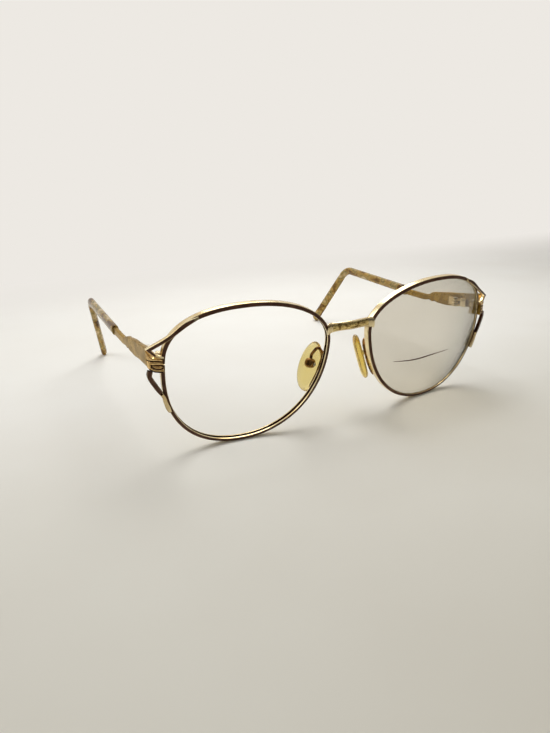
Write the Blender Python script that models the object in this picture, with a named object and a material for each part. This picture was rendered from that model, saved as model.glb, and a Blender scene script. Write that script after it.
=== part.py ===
"""Women's oval metal spectacles with openwork ends, standing open on a table.

Gilt eyewires with a dark enamel front, a saddle bridge, split struts that carry
the ends, adjustable nose pads, folding temples with marbled sleeves, and one
tinted bifocal lens. Left and right are the wearer's: the wearer's left is +X,
the front faces -Y and +Z is up. Sizes are in millimetres and degrees.
"""
import math

import bmesh
import bpy
from mathutils import Vector

MM = 0.001

# Eyewire: reach of its inner edge from the widest line, and the fullness of each quarter
TEMPORAL_REACH = 26.2
NASAL_REACH = 29.1
TOP_REACH = 16.0
BOTTOM_REACH = 30.7
FULLNESS_TOP_TEMPORAL = 2.34
FULLNESS_TOP_NASAL = 1.95
FULLNESS_BOTTOM_NASAL = 2.14
FULLNESS_BOTTOM_TEMPORAL = 2.3
OUTLINE_SKEW = -0.075
RIM_WIDTH = 1.3
RIM_DEPTH = 2.2
RIM_CHAMFER = 0.2
GROOVE_DEPTH = 0.5
GROOVE_WIDTH = 1.0
RIM_STATIONS = 84

# How the two fronts stand: spacing, face wrap, forward lean of the top, and base curve
LENS_SPACING = 74.2
WRAP_ANGLE = 4.7
PANTOSCOPIC_TILT = 7.9
BASE_RADIUS = 90.0

# Clearances
SOLDER_GAP = 0.06
SLIT = 0.3
RUNNING_GAP = 0.12
PIN_GAP = 0.08

# Bridge
BRIDGE_LEVEL = 11.4
BRIDGE_DROP = 0.65
BRIDGE_RISE = 0.35
BRIDGE_FORWARD = -0.9
BRIDGE_HEIGHT = 2.6
BRIDGE_END_HEIGHT = 3.7
BRIDGE_THICKNESS = 1.9
BRIDGE_CHAMFER = 0.6
CLAW_PROUD = 0.9
CLAW_LAP = 1.0

# Endpiece: reeded block on the rim, and the side arm that runs back to the hinge
BLOCK_LEVEL = 7.25
BLOCK_HEIGHT = 4.4
BLOCK_PROUD = 1.5
BLOCK_THICKNESS = 3.0
BLOCK_LAP = 0.5
CORNER_LENGTH = 2.6
REED_DEPTH = 0.45
REED_COUNT = 3
ARM_THICKNESS = 1.5
ARM_OUTSET = 3.73
ARM_TOP_FRONT = 38.0
ARM_TOP_SEAM = 36.4
ARM_BOTTOM_FRONT = 31.4
ARM_BOTTOM_SEAM = 30.8
SEAM_Y = 19.3

# Struts
STRUT_WIDTH = 1.1
STRUT_THICKNESS = 1.4
STRUT_PROUD = 1.3
STRUT_START_V = 20.9
STRUT_LEAVE_U = 26.0
STRUT_LEAVE_V = 16.0
STRUT_CORNER_U = 32.3
STRUT_CORNER_V = 11.5
RETURN_HEIGHT = 0.65
RETURN_SAG = 0.3
START_PROUD = 0.5
START_THICKNESS = 0.6
LOWER_BULGE_U = 31.55
LOWER_BULGE_V = 3.4
LOWER_KNEE_U = 30.2
LOWER_KNEE_V = -0.3
TAIL_START_V = -3.2
TAIL_END_V = -8.6
TAIL_WIDTH = 1.45

# Closing block of the rim
LOCK_WIDTH = 1.7
LOCK_DEPTH = 2.0
LOCK_HEIGHT = 2.6
LOCK_SCREW_RADIUS = 0.4
LOCK_HEAD_RADIUS = 0.72
LOCK_HEAD_HEIGHT = 0.4

# Hinge: axis inside the arm's inner face, three knuckles on a screw
HINGE_OFFSET = 1.75
KNUCKLE_RADIUS = 1.3
KNUCKLE_HEIGHT = 1.1
HINGE_LEVEL = 32.85
LEAF_THICKNESS = 0.8
LEAF_LENGTH = 3.4
HINGE_SCREW_RADIUS = 0.5
HINGE_HEAD_RADIUS = 0.95
HINGE_HEAD_HEIGHT = 0.3

# Temple: scalloped paddle, slender bar, core wire inside the sleeve
SHOULDER_Y = 33.0
SHOULDER_HEIGHT = 4.9
SCALLOP_LENGTH = 3.2
SCALLOP_DEPTH = 0.45
NECK_Y = 43.0
SLEEVE_START_Y = 57.0
SLEEVE_START_LEVEL = 31.65
NECK_LEVEL = 31.35
BAR_HEIGHT = 2.8
CORE_WIDTH = 1.3
CORE_THICKNESS = 0.8
CORE_PAST_BEND = 14.0
BEND_OUTSET = 1.6
TEMPLE_TO_BEND_LENGTH = 90.1
BEND_LEVEL = 34.05
BEND_RADIUS = 6.5
TIP_INSET = 4.5
DROP_LENGTH = 24.1
SLEEVE_HEIGHT = 4.0
SLEEVE_THICKNESS = 2.7
TIP_WIDTH = 4.7
TIP_THICKNESS = 2.9
SLEEVE_SIDES = 12

# Nose pads: centre, lean of the long axis, splay of the face
PAD_INBOARD = 26.3
PAD_BEHIND = 10.3
PAD_LEVEL = 20.2
PAD_FRONTAL_ANGLE = 17.3
PAD_SPLAY_ANGLE = 30.0
PAD_LENGTH = 18.6
PAD_WIDTH = 9.2
PAD_THICKNESS = 2.9
PAD_BOSS_RADIUS = 0.75
BOX_ABOVE_CENTRE = 1.7
BOX_FORWARD = 0.9
BOX_STANDOFF = 0.2
BOX_LENGTH = 3.4
BOX_WIDTH = 3.6
BOX_DEPTH = 2.0
BOX_WALL = 0.6
BOX_FLOOR = 0.4
PAD_SCREW_RADIUS = 0.35
PAD_SCREW_HEAD_RADIUS = 0.65
ARM_WIRE_RADIUS = 0.55
ARM_FOOT_V = -9.8
ARM_SETOFF = 0.15
ARM_LOOP_LEVEL = 28.0
ARM_BEHIND = 0.8
ARM_LOOP_LEAN = 0.6
ARM_DROP = 1.6

# Lens, in the wearer's left eyewire
LENS_CLEARANCE = 0.1
LENS_BEVEL = 0.35
LENS_SEAT = 0.45
LENS_CENTRE_THICKNESS = 1.9
LENS_BACK_RADIUS = 80.0
LENS_STATIONS = 48

MATERIALS = {
    "polished_gilt": ((0.62, 0.43, 0.19), 0.16, 1.0, 0.0),
    "brown_enamel": ((0.035, 0.016, 0.012), 0.2, 0.0, 0.0),
    "nickel_steel": ((0.55, 0.53, 0.5), 0.25, 1.0, 0.0),
    "amber_pad": ((0.75, 0.5, 0.1), 0.2, 0.0, 0.6),
    "marbled_acetate": ((0.4, 0.24, 0.09), 0.25, 0.0, 0.25),
    "tinted_lens": ((0.78, 0.75, 0.69), 0.05, 0.0, 0.95),
}


def material(name):
    found = bpy.data.materials.get(name)
    if found:
        return found
    colour, roughness, metallic, transmission = MATERIALS[name]
    made = bpy.data.materials.new(name)
    made.use_nodes = True
    shader = made.node_tree.nodes["Principled BSDF"]
    shader.inputs["Base Color"].default_value = (*colour, 1.0)
    shader.inputs["Roughness"].default_value = roughness
    shader.inputs["Metallic"].default_value = metallic
    shader.inputs["Transmission Weight"].default_value = transmission
    return made


# Shape of the eyewire

def quarter_edge(angle):
    """A point of the inner edge, about the crossing of its widest and tallest lines."""
    c, s = math.cos(angle), math.sin(angle)
    reach_u = TEMPORAL_REACH if c >= 0 else NASAL_REACH
    reach_v = TOP_REACH if s >= 0 else BOTTOM_REACH
    if s >= 0:
        power = FULLNESS_TOP_TEMPORAL if c >= 0 else FULLNESS_TOP_NASAL
    else:
        power = FULLNESS_BOTTOM_TEMPORAL if c >= 0 else FULLNESS_BOTTOM_NASAL
    radius = ((abs(c) / reach_u) ** power + (abs(s) / reach_v) ** power) ** (-1 / power)
    return Vector((radius * c + OUTLINE_SKEW * radius * s, radius * s))


def box_middle():
    points = [quarter_edge(math.radians(k)) for k in range(360)]
    us, vs = [p.x for p in points], [p.y for p in points]
    return Vector(((min(us) + max(us)) / 2, (min(vs) + max(vs)) / 2))


MIDDLE = box_middle()


def outline_point(angle, offset=0.0):
    """A point `offset` outside the inner edge, measured from the middle of its box."""
    step = 0.004
    tangent = quarter_edge(angle + step) - quarter_edge(angle - step)
    normal = Vector((tangent.y, -tangent.x)).normalized()
    return quarter_edge(angle) + normal * offset - MIDDLE


def angle_at(v, nasal=False):
    """The outline's angle where its inner edge is at height v, on the given side."""
    low, high = (math.radians(269), math.radians(91)) if nasal else (math.radians(-89), math.radians(89))
    for _ in range(40):
        middle = (low + high) / 2
        if outline_point(middle).y < v:
            low = middle
        else:
            high = middle
    return (low + high) / 2


def lay_on_face(u, v, depth, lens_height):
    """Carries outline coordinates onto the curved, wrapped and tilted front of the left side."""
    wrap, tilt = math.radians(WRAP_ANGLE), math.radians(PANTOSCOPIC_TILT)
    back = (u * u + v * v) / (2 * BASE_RADIUS) + depth
    x = LENS_SPACING / 2 + u * math.cos(wrap) - back * math.sin(wrap)
    y = u * math.sin(wrap) + back * math.cos(wrap)
    return Vector((x, y * math.cos(tilt) - v * math.sin(tilt), y * math.sin(tilt) + v * math.cos(tilt) + lens_height))


def standing_height():
    """The lens centre's height when the eyewire's lowest edge meets the table."""
    lowest = 0.0
    for k in range(180):
        p = outline_point(math.radians(180 + k), RIM_WIDTH)
        for depth in (RIM_CHAMFER, RIM_DEPTH - RIM_CHAMFER):
            lowest = min(lowest, lay_on_face(p.x, p.y, depth, 0.0).z)
        p = outline_point(math.radians(180 + k), RIM_WIDTH - RIM_CHAMFER)
        for depth in (0.0, RIM_DEPTH):
            lowest = min(lowest, lay_on_face(p.x, p.y, depth, 0.0).z)
    return -lowest


LENS_HEIGHT = standing_height()


def on_front(u, v, depth=0.0):
    return lay_on_face(u, v, depth, LENS_HEIGHT)


def rim_half_span():
    """How far out the eyewire reaches where the block is soldered on."""
    p = outline_point(angle_at(BLOCK_LEVEL), RIM_WIDTH)
    return on_front(p.x, p.y).x


ARM_HALF_SPAN = rim_half_span() + ARM_OUTSET
BEND_HALF_SPAN = ARM_HALF_SPAN + BEND_OUTSET
TIP_HALF_SPAN = ARM_HALF_SPAN - TIP_INSET
BEND_Y = SEAM_Y + TEMPLE_TO_BEND_LENGTH
TIP_Y = BEND_Y + DROP_LENGTH


# Mesh making

def loft(rings, closed=False):
    """Verts and faces of a body through rings of equally many points."""
    count = len(rings[0])
    verts = [point for ring in rings for point in ring]
    faces = []
    for i in range(len(rings) if closed else len(rings) - 1):
        here, there = i * count, (i + 1) % len(rings) * count
        for k in range(count):
            n = (k + 1) % count
            faces.append((here + k, here + n, there + n, there + k))
    if not closed:
        faces.append(tuple(range(count))[::-1])
        faces.append(tuple(range(len(verts) - count, len(verts))))
    return verts, faces


def smooth_route(points, steps):
    """Catmull-Rom curve through points of any number of coordinates."""
    ends = [[2 * a - b for a, b in zip(points[0], points[1])]] + [list(p) for p in points]
    ends.append([2 * a - b for a, b in zip(points[-1], points[-2])])
    route = []
    for i in range(1, len(ends) - 2):
        for k in range(steps):
            t = k / steps
            weights = (-t + 2 * t**2 - t**3, 2 - 5 * t**2 + 3 * t**3, t + 4 * t**2 - 3 * t**3, t**3 - t**2)
            route.append([sum(w * p[axis] for w, p in zip(weights, ends[i - 1:i + 3])) / 2
                          for axis in range(len(points[0]))])
    route.append(list(points[-1]))
    return route


def chamfered(width, height, chamfer):
    """Rectangle with cut corners, its first edge on the -height side."""
    a, b, c = width / 2, height / 2, min(chamfer, width / 3, height / 3)
    return [(-a + c, -b), (a - c, -b), (a, -b + c), (a, b - c), (a - c, b), (-a + c, b), (-a, b - c), (-a, -b + c)]


def rounded(width, height, sides, power=2.4):
    """Superellipse section."""
    points = []
    for k in range(sides):
        angle = 2 * math.pi * (k + 0.5) / sides
        c, s = math.cos(angle), math.sin(angle)
        radius = ((abs(c) / (width / 2)) ** power + (abs(s) / (height / 2)) ** power) ** (-1 / power)
        points.append((radius * c, radius * s))
    return points


def cylinder(centre, axis, radius, low, high, sides=16):
    """Straight round bar along axis, from low to high of the centre."""
    axis = Vector(axis).normalized()
    across = axis.orthogonal().normalized()
    other = axis.cross(across)
    rings = []
    for level in (low, high):
        ring = []
        for k in range(sides):
            angle = 2 * math.pi * k / sides
            ring.append(centre + axis * level + (across * math.cos(angle) + other * math.sin(angle)) * radius)
        rings.append(ring)
    return loft(rings)


def turned(centre, axis, profile, sides=16):
    """Solid of revolution from (radius, level) pairs."""
    axis = Vector(axis).normalized()
    across = axis.orthogonal().normalized()
    other = axis.cross(across)
    rings = []
    for radius, level in profile:
        ring = []
        for k in range(sides):
            angle = 2 * math.pi * k / sides
            ring.append(centre + axis * level + (across * math.cos(angle) + other * math.sin(angle)) * radius)
        rings.append(ring)
    return loft(rings)


def box(centre, axes, sizes):
    """Block with its centre, three unit axes and three full sizes."""
    a, b, c = (axis * size / 2 for axis, size in zip(axes, sizes))
    rings = []
    for end in (-1, 1):
        rings.append([centre + a * end + b * s + c * t for s, t in ((-1, -1), (1, -1), (1, 1), (-1, 1))])
    return loft(rings)


SPECTACLES = None


def add(name, body, material_names, side=1, pivot=None, smooth_angle=35, faces_in_second=()):
    """Makes the object, mirrored for the right side, with its origin on its pivot."""
    verts, faces = body
    at = Vector((0, 0, 0)) if pivot is None else Vector(pivot)
    mesh = bpy.data.meshes.new(name)
    mesh.from_pydata([((v.x - at.x) * side * MM, (v.y - at.y) * MM, (v.z - at.z) * MM) for v in verts], [], faces)
    for material_name in material_names:
        mesh.materials.append(material(material_name))
    for index in faces_in_second:
        mesh.polygons[index].material_index = 1
    work = bmesh.new()
    work.from_mesh(mesh)
    bmesh.ops.recalc_face_normals(work, faces=work.faces)
    work.to_mesh(mesh)
    work.free()
    mesh.shade_smooth()
    mesh.set_sharp_from_angle(angle=math.radians(smooth_angle))
    obj = bpy.data.objects.new(name, mesh)
    obj.location = (at.x * side * MM, at.y * MM, at.z * MM)
    obj.parent = SPECTACLES
    bpy.context.scene.collection.objects.link(obj)
    return obj


def cutter(name, body, side=1, pivot=None):
    obj = add(name, body, (), side, pivot)
    obj.hide_render = True
    obj.display_type = "WIRE"
    return obj


def cut(obj, tool, operation="DIFFERENCE"):
    modifier = obj.modifiers.new(tool.name, "BOOLEAN")
    modifier.object = tool
    modifier.operation = operation
    return modifier


# Eyewires

def rim_profile(grow=0.0, grooved=True):
    """(offset, depth) section of the eyewire, with the lens groove in its inner wall."""
    w, d, c, m = RIM_WIDTH + grow, RIM_DEPTH + grow, RIM_CHAMFER, RIM_DEPTH / 2
    points = [(c / 2 - grow, -grow), (w - c, -grow), (w, c - grow), (w, d - c), (w - c, d), (c / 2 - grow, d)]
    points.append((-grow, d - c / 2))
    if grooved:
        points += [(0.0, m + GROOVE_WIDTH / 2), (GROOVE_DEPTH, m), (0.0, m - GROOVE_WIDTH / 2)]
    points.append((-grow, c / 2 - grow))
    return points


def rim_rings(angles, profile):
    rings = []
    for angle in angles:
        ring = []
        for offset, depth in profile:
            p = outline_point(angle, offset)
            ring.append(on_front(p.x, p.y, depth))
        rings.append(ring)
    return rings


def lock_angle():
    return angle_at(BLOCK_LEVEL)


def eyewire(side, name):
    """Grooved ring, open by a slit where the closing block draws it together."""
    start = lock_angle()
    half_slit = SLIT / 2 / (outline_point(start) + MIDDLE).length
    angles = [start + half_slit + (2 * math.pi - 2 * half_slit) * k / RIM_STATIONS for k in range(RIM_STATIONS + 1)]
    body = loft(rim_rings(angles, rim_profile()))
    enamel = [i * len(rim_profile()) for i in range(RIM_STATIONS)]
    return add(name, body, ("polished_gilt", "brown_enamel"), side, faces_in_second=enamel)


def rim_clearance(side, name):
    """Closed, grooveless ring that neighbours are cut by."""
    start = lock_angle()
    angles = [start + 2 * math.pi * k / RIM_STATIONS for k in range(RIM_STATIONS)]
    body = loft(rim_rings(angles, rim_profile(SOLDER_GAP, grooved=False)), closed=True)
    return cutter(name, body, side)


# Bridge

def bridge(cutters):
    """Saddle bar whose flared ends lap over the front of both rims."""
    angle = angle_at(BRIDGE_LEVEL, nasal=True)
    stations = []
    for offset, thickness, height, drop in (
        (RIM_WIDTH - CLAW_LAP, CLAW_PROUD, BRIDGE_END_HEIGHT * 0.85, 0.0),
        (RIM_WIDTH * 0.6, CLAW_PROUD, BRIDGE_END_HEIGHT, 0.0),
        (RIM_WIDTH + 0.3, BRIDGE_THICKNESS, BRIDGE_END_HEIGHT, 0.4),
        (RIM_WIDTH + 1.4, BRIDGE_THICKNESS, BRIDGE_HEIGHT + 0.3, 1.0),
    ):
        p = outline_point(angle, offset)
        spot = on_front(p.x, p.y, thickness / 2 - CLAW_PROUD)
        stations.append((spot.x, spot.y, spot.z - BRIDGE_DROP * drop, thickness, height))
    root = Vector(stations[-1][:3])
    crown = Vector((0.0, BRIDGE_FORWARD + BRIDGE_THICKNESS / 2, root.z + BRIDGE_RISE))
    shoulder = root.lerp(crown, 0.4)
    arched = shoulder.z + BRIDGE_RISE * 0.2
    half = stations[2:] + [(shoulder.x, shoulder.y, arched, BRIDGE_THICKNESS, BRIDGE_HEIGHT)]
    mirrored = [(-p[0], *p[1:]) for p in reversed(half)]
    bar = smooth_route(half + [(*crown, BRIDGE_THICKNESS, BRIDGE_HEIGHT)] + mirrored, 4)
    ends = [(-p[0], *p[1:]) for p in reversed(stations[:2])]
    rings = []
    for x, y, z, thickness, height in stations[:2] + bar + ends:
        section = chamfered(thickness, height, BRIDGE_CHAMFER)
        rings.append([Vector((x, y + a, z + b)) for a, b in section])
    obj = add("bridge", loft(rings), ("polished_gilt",))
    for tool in cutters:
        cut(obj, tool)
    return obj


# Endpieces

def endpiece_route():
    """Stations (face point, direction, thickness, height above, height below, reed depth)."""
    angle = lock_angle()
    half = BLOCK_HEIGHT / 2
    stations = []
    for offset, thickness in (
        (RIM_WIDTH - BLOCK_LAP, BLOCK_PROUD),
        (RIM_WIDTH * 0.9, BLOCK_PROUD),
        (RIM_WIDTH + SOLDER_GAP / 3, BLOCK_THICKNESS),
        (RIM_WIDTH + 0.5, BLOCK_THICKNESS),
    ):
        p = outline_point(angle, offset)
        stations.append([on_front(p.x, p.y, -BLOCK_PROUD), thickness, half, half, REED_DEPTH])
    start, root = stations[0][0], stations[-1][0]
    lead = (root - start).normalized()
    for station in stations:
        station.insert(1, lead)
    knee = root + lead * ((ARM_HALF_SPAN - root.x) / lead.x)
    after = Vector((ARM_HALF_SPAN, knee.y + CORNER_LENGTH, knee.z))
    top_after, low_after = ARM_TOP_FRONT - after.z, after.z - ARM_BOTTOM_FRONT
    steps = 7
    for k in range(1, steps + 1):
        t = k / steps
        point = root * (1 - t) ** 2 + knee * 2 * t * (1 - t) + after * t * t
        along = ((knee - root) * (1 - t) + (after - knee) * t).normalized()
        rise = max(0.0, (t - 0.3) / 0.7) ** 1.5
        thickness = BLOCK_THICKNESS + (ARM_THICKNESS - BLOCK_THICKNESS) * t
        low = half + (low_after - half) * rise
        stations.append([point, along, thickness, half + (top_after - half) * rise, low, REED_DEPTH * (1 - t)])
    for k in range(1, 5):
        t = k / 4
        point = Vector((ARM_HALF_SPAN, after.y + (SEAM_Y - RUNNING_GAP / 2 - after.y) * t, after.z))
        top = top_after + (ARM_TOP_SEAM - ARM_TOP_FRONT) * t
        low = low_after + (ARM_BOTTOM_FRONT - ARM_BOTTOM_SEAM) * t
        stations.append([point, Vector((0, 1, 0)), ARM_THICKNESS, top, low, 0.0])
    return stations


def endpiece_body(grow=0.0):
    """The sweep itself, or the same grown by a clearance all round."""
    rings = []
    up = Vector((0, 0, 1))
    edge = 0.3
    stations = endpiece_route()
    for index, (point, along, thickness, top, low, reed) in enumerate(stations):
        back = along.cross(up).normalized() * -1
        point = point - back * grow
        if index == 0:
            point = point - along * grow
        top, low, thickness = top + grow, low + grow, thickness + 2 * grow
        pitch = (top + low - 2 * edge) / REED_COUNT
        ring = [point + back * thickness - up * (low - edge / 2), point + back * edge - up * low]
        ring.append(point - up * (low - edge))
        for k in range(REED_COUNT):
            centre = -low + edge + pitch * (k + 0.5)
            ring.append(point + up * (centre - pitch * 0.3))
            ring.append(point + back * (0.0 if grow else reed) + up * centre)
            ring.append(point + up * (centre + pitch * 0.3))
        ring.append(point + up * (top - edge))
        ring.append(point + back * edge + up * top)
        ring.append(point + back * thickness + up * (top - edge / 2))
        rings.append(ring)
    return loft(rings)


def endpiece(side, name, tools):
    """Reeded block on the rim's front, turned round the corner into the side arm."""
    obj = add(name, endpiece_body(), ("polished_gilt",), side, smooth_angle=25)
    obj.modifiers.new("flat_facets", "TRIANGULATE")
    for tool in tools:
        cut(obj, tool)
    return obj


# Struts

def strip(route, chamfer=0.22):
    """Enamelled bar along (u, v, depth, width, thickness) stations on the front face."""
    rings = []
    for i, (u, v, depth, width, thickness) in enumerate(route):
        here = Vector((u, v))
        before = here - Vector(route[i - 1][:2]) if i else None
        after = Vector(route[i + 1][:2]) - here if i + 1 < len(route) else None
        if before is None or after is None:
            direction, mitre = (after or before).normalized(), 1.0
        else:
            before, after = before.normalized(), after.normalized()
            direction = (before + after).normalized()
            mitre = 1 / max(0.6, direction.dot(after))
        across = Vector((direction.y, -direction.x)) * mitre
        ring = []
        for a, b in chamfered(width, thickness, chamfer):
            spot = here + across * a
            ring.append(on_front(spot.x, spot.y, depth + b))
        rings.append(ring)
    return loft(rings)


def strut_depth():
    return STRUT_THICKNESS / 2 - STRUT_PROUD


def upper_strut(side, name, tools):
    """Bar that leaves the brow of the rim, turns sharply at the end and comes back above the block."""
    full = (strut_depth(), STRUT_WIDTH, STRUT_THICKNESS)
    begin = outline_point(angle_at(STRUT_START_V), RIM_WIDTH / 2)
    corner = Vector((STRUT_CORNER_U, STRUT_CORNER_V))
    leave = Vector((STRUT_LEAVE_U, STRUT_LEAVE_V))
    second = begin.lerp(leave, 0.3)
    emerging = (START_THICKNESS / 2 - START_PROUD, STRUT_WIDTH * 0.7, START_THICKNESS)
    middling = tuple((a + b) / 2 for a, b in zip(emerging, full))
    route = [(*begin, *emerging), (*second, *middling), (*leave, *full)]
    out = smooth_route(route + [(*corner, *full)], 3)
    foot_v = BLOCK_LEVEL + BLOCK_HEIGHT / 2 + RETURN_HEIGHT
    seat = outline_point(angle_at(foot_v), RIM_WIDTH * 0.6)
    bow = corner.lerp(seat, 0.5) + Vector((0.0, -RETURN_SAG))
    home = smooth_route([(*corner, *full), (*bow, *full), (*seat, *full)], 3)[1:]
    enamel = [i * 8 for i in range(1, len(out) - 1)]
    obj = add(name, strip(out + home), ("polished_gilt", "brown_enamel"), side, faces_in_second=enamel)
    for tool in tools:
        cut(obj, tool)
    return obj


def lower_strut(side, name, tools):
    """Bar that hangs from the block, bows outward and lands on the rim's front as a gilt tail."""
    top_v = BLOCK_LEVEL - BLOCK_HEIGHT / 2 + STRUT_WIDTH / 3
    full = (strut_depth(), STRUT_WIDTH, STRUT_THICKNESS)
    route = [
        (LOWER_BULGE_U, top_v, *full),
        (LOWER_BULGE_U, LOWER_BULGE_V, *full),
        (LOWER_KNEE_U, LOWER_KNEE_V, *full),
    ]
    tail = []
    for k in range(5):
        t = k / 4
        p = outline_point(angle_at(TAIL_START_V + (TAIL_END_V - TAIL_START_V) * t), RIM_WIDTH * (1.1 - 0.2 * t))
        width = STRUT_WIDTH + (TAIL_WIDTH - STRUT_WIDTH) * min(1.0, t * 1.4)
        tail.append((p.x, p.y, full[0], width * (1.0 if k < 4 else 0.7), STRUT_THICKNESS))
    points = smooth_route(route + tail, 3)
    enamel = [i * 8 for i in range(0, 8)]
    obj = add(name, strip(points), ("polished_gilt", "brown_enamel"), side, faces_in_second=enamel)
    for tool in tools:
        cut(obj, tool)
    return obj


# Closing block of the rim

def lock_axes():
    """Centre of the closing block behind the rim, with its across, back and up directions."""
    seat = outline_point(lock_angle(), 0.35 + LOCK_WIDTH / 2)
    depth = RIM_DEPTH + SOLDER_GAP + LOCK_DEPTH / 2
    centre = on_front(seat.x, seat.y, depth)
    across = (on_front(seat.x + 1, seat.y, depth) - centre).normalized()
    up = (on_front(seat.x, seat.y + 1, depth) - centre).normalized()
    back = up.cross(across).normalized() * -1
    return centre, across, back, up


def rim_lock(side, prefix, clearance):
    """Two drilled barrels, one on each end of the rim, and the screw that draws them together."""
    centre, across, back, up = lock_axes()
    through = 2 * LOCK_HEIGHT
    bore = cylinder(centre, up, LOCK_SCREW_RADIUS + PIN_GAP, -through, through, 12)
    tool = cutter(prefix + "_lock_bore", bore, side)
    for end, word in ((1, "_upper_lock_barrel"), (-1, "_lower_lock_barrel")):
        middle = centre + up * end * (SLIT + LOCK_HEIGHT) / 2
        body = box(middle, (across, back, up), (LOCK_WIDTH, LOCK_DEPTH, LOCK_HEIGHT))
        barrel = add(prefix + word, body, ("polished_gilt",), side)
        cut(barrel, tool)
        cut(barrel, clearance)
    reach = SLIT / 2 + LOCK_HEIGHT
    r, head = LOCK_SCREW_RADIUS, LOCK_HEAD_RADIUS
    under = -reach - SOLDER_GAP
    profile = [(head * 0.8, under - LOCK_HEAD_HEIGHT), (head, under - LOCK_HEAD_HEIGHT * 0.7), (head, under)]
    profile += [(r, under), (r, reach - 0.2), (r * 0.7, reach)]
    add(prefix + "_lock_screw", turned(centre, up, profile, 12), ("nickel_steel",), side)


# Hinges

def hinge_axis():
    return Vector((ARM_HALF_SPAN - ARM_THICKNESS - HINGE_OFFSET, SEAM_Y, HINGE_LEVEL))


def hinge_leaf(side, name, direction, levels, bore, pivot=None):
    """Plate soldered to the arm or the temple, with its knuckles at the given levels."""
    axis = hinge_axis()
    edge = HINGE_OFFSET - SOLDER_GAP
    start = KNUCKLE_RADIUS + RUNNING_GAP
    height = 3 * KNUCKLE_HEIGHT + 2 * RUNNING_GAP
    centre = axis + Vector((edge - LEAF_THICKNESS / 2, direction * (start + LEAF_LENGTH / 2), 0))
    frame = (Vector((1, 0, 0)), Vector((0, 1, 0)), Vector((0, 0, 1)))
    plate = add(name, box(centre, frame, (LEAF_THICKNESS, LEAF_LENGTH, height)), ("polished_gilt",), side, pivot)
    for index, level in enumerate(levels):
        rings = []
        for end in (-1, 1):
            z = level + end * KNUCKLE_HEIGHT / 2
            rings.append([axis + Vector((x, y, z)) for x, y in knuckle_plan(direction, edge, start + 0.6)])
        cut(plate, cutter(f"{name}_ear_{index}", loft(rings), side, pivot), "UNION")
    cut(plate, bore)
    return plate


def knuckle_plan(direction, edge, reach):
    """Barrel with a web that runs into its plate."""
    inner = edge - LEAF_THICKNESS
    first = math.acos(min(1.0, inner / KNUCKLE_RADIUS))
    last = math.radians(250)
    points = []
    steps = 12
    for k in range(steps + 1):
        angle = first + (last - first) * k / steps
        points.append((KNUCKLE_RADIUS * math.cos(angle), -direction * KNUCKLE_RADIUS * math.sin(angle)))
    points.append((inner * 0.2, direction * (KNUCKLE_RADIUS + 0.35)))
    points.append((inner + 0.15, direction * reach))
    points.append((edge - 0.1, direction * reach))
    points.append((edge - 0.1, direction * 0.45))
    return points


def hinge(side, prefix):
    """Front leaf with two knuckles, temple leaf with one, and the screw through all three."""
    axis = hinge_axis()
    up = Vector((0, 0, 1))
    pitch = KNUCKLE_HEIGHT + RUNNING_GAP
    through = 3 * pitch
    bore = cylinder(axis, up, HINGE_SCREW_RADIUS + PIN_GAP, -through, through, 16)
    tool = cutter(prefix + "_hinge_bore", bore, side)
    hinge_leaf(side, prefix + "_hinge_front_leaf", -1, (-pitch, pitch), tool)
    hinge_leaf(side, prefix + "_hinge_temple_leaf", 1, (0.0,), tool, pivot=axis)
    top = pitch + KNUCKLE_HEIGHT / 2
    r, head = HINGE_SCREW_RADIUS, HINGE_HEAD_RADIUS
    seat = top + SOLDER_GAP
    profile = [(r * 0.7, -top), (r, -top + 0.25), (r, seat), (head, seat)]
    profile += [(head, seat + HINGE_HEAD_HEIGHT * 0.6), (head * 0.75, seat + HINGE_HEAD_HEIGHT)]
    screw = add(prefix + "_hinge_screw", turned(axis, up, profile, 16), ("nickel_steel",), side)
    slot_centre = axis + up * (seat + HINGE_HEAD_HEIGHT)
    frame = (Vector((1, 0, 0)), Vector((0, 1, 0)), up)
    cut(screw, cutter(prefix + "_hinge_slot", box(slot_centre, frame, (4 * head, 0.3, 0.4)), side))


# Temples

def temple_stations():
    """(x, y, top, bottom) of the temple from the seam to the sleeve."""
    straight = SEAM_Y + KNUCKLE_RADIUS + LEAF_LENGTH + 1.5
    slope = (BEND_HALF_SPAN - ARM_HALF_SPAN + ARM_THICKNESS / 2) / (BEND_Y - straight)

    def bar(y):
        level = NECK_LEVEL + (SLEEVE_START_LEVEL - NECK_LEVEL) * (y - NECK_Y) / (SLEEVE_START_Y - NECK_Y)
        return level + BAR_HEIGHT / 2, level - BAR_HEIGHT / 2

    low = ARM_BOTTOM_SEAM - 0.8
    shoulder = low + SHOULDER_HEIGHT
    fall = shoulder - bar(NECK_Y)[0]
    first, second = SHOULDER_Y + SCALLOP_LENGTH / 2, SHOULDER_Y + SCALLOP_LENGTH * 1.5 + 0.8
    rows = [
        (SEAM_Y + RUNNING_GAP / 2, ARM_TOP_SEAM, ARM_BOTTOM_SEAM),
        (straight, (ARM_TOP_SEAM + shoulder) / 2 + 0.2, low),
        (SHOULDER_Y - 1.2, shoulder + 0.1, low),
        (SHOULDER_Y, shoulder, low),
        (first, shoulder - fall * 0.08, low + SCALLOP_DEPTH),
        (first + SCALLOP_LENGTH / 2, shoulder - fall * 0.25, low + 0.05),
        (second - SCALLOP_LENGTH / 2, shoulder - fall * 0.4, low + 0.1),
        (second, shoulder - fall * 0.8, low + SCALLOP_DEPTH + 0.1),
        (second + SCALLOP_LENGTH / 2, bar(NECK_Y)[0] + 0.1, low + 0.25),
    ]
    for y in (NECK_Y, (NECK_Y + SLEEVE_START_Y) / 2, SLEEVE_START_Y - 0.4):
        rows.append((y, *bar(y)))
    centre = ARM_HALF_SPAN - ARM_THICKNESS / 2
    return [(centre + max(0.0, y - straight) * slope, y, top, bottom) for y, top, bottom in rows]


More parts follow.
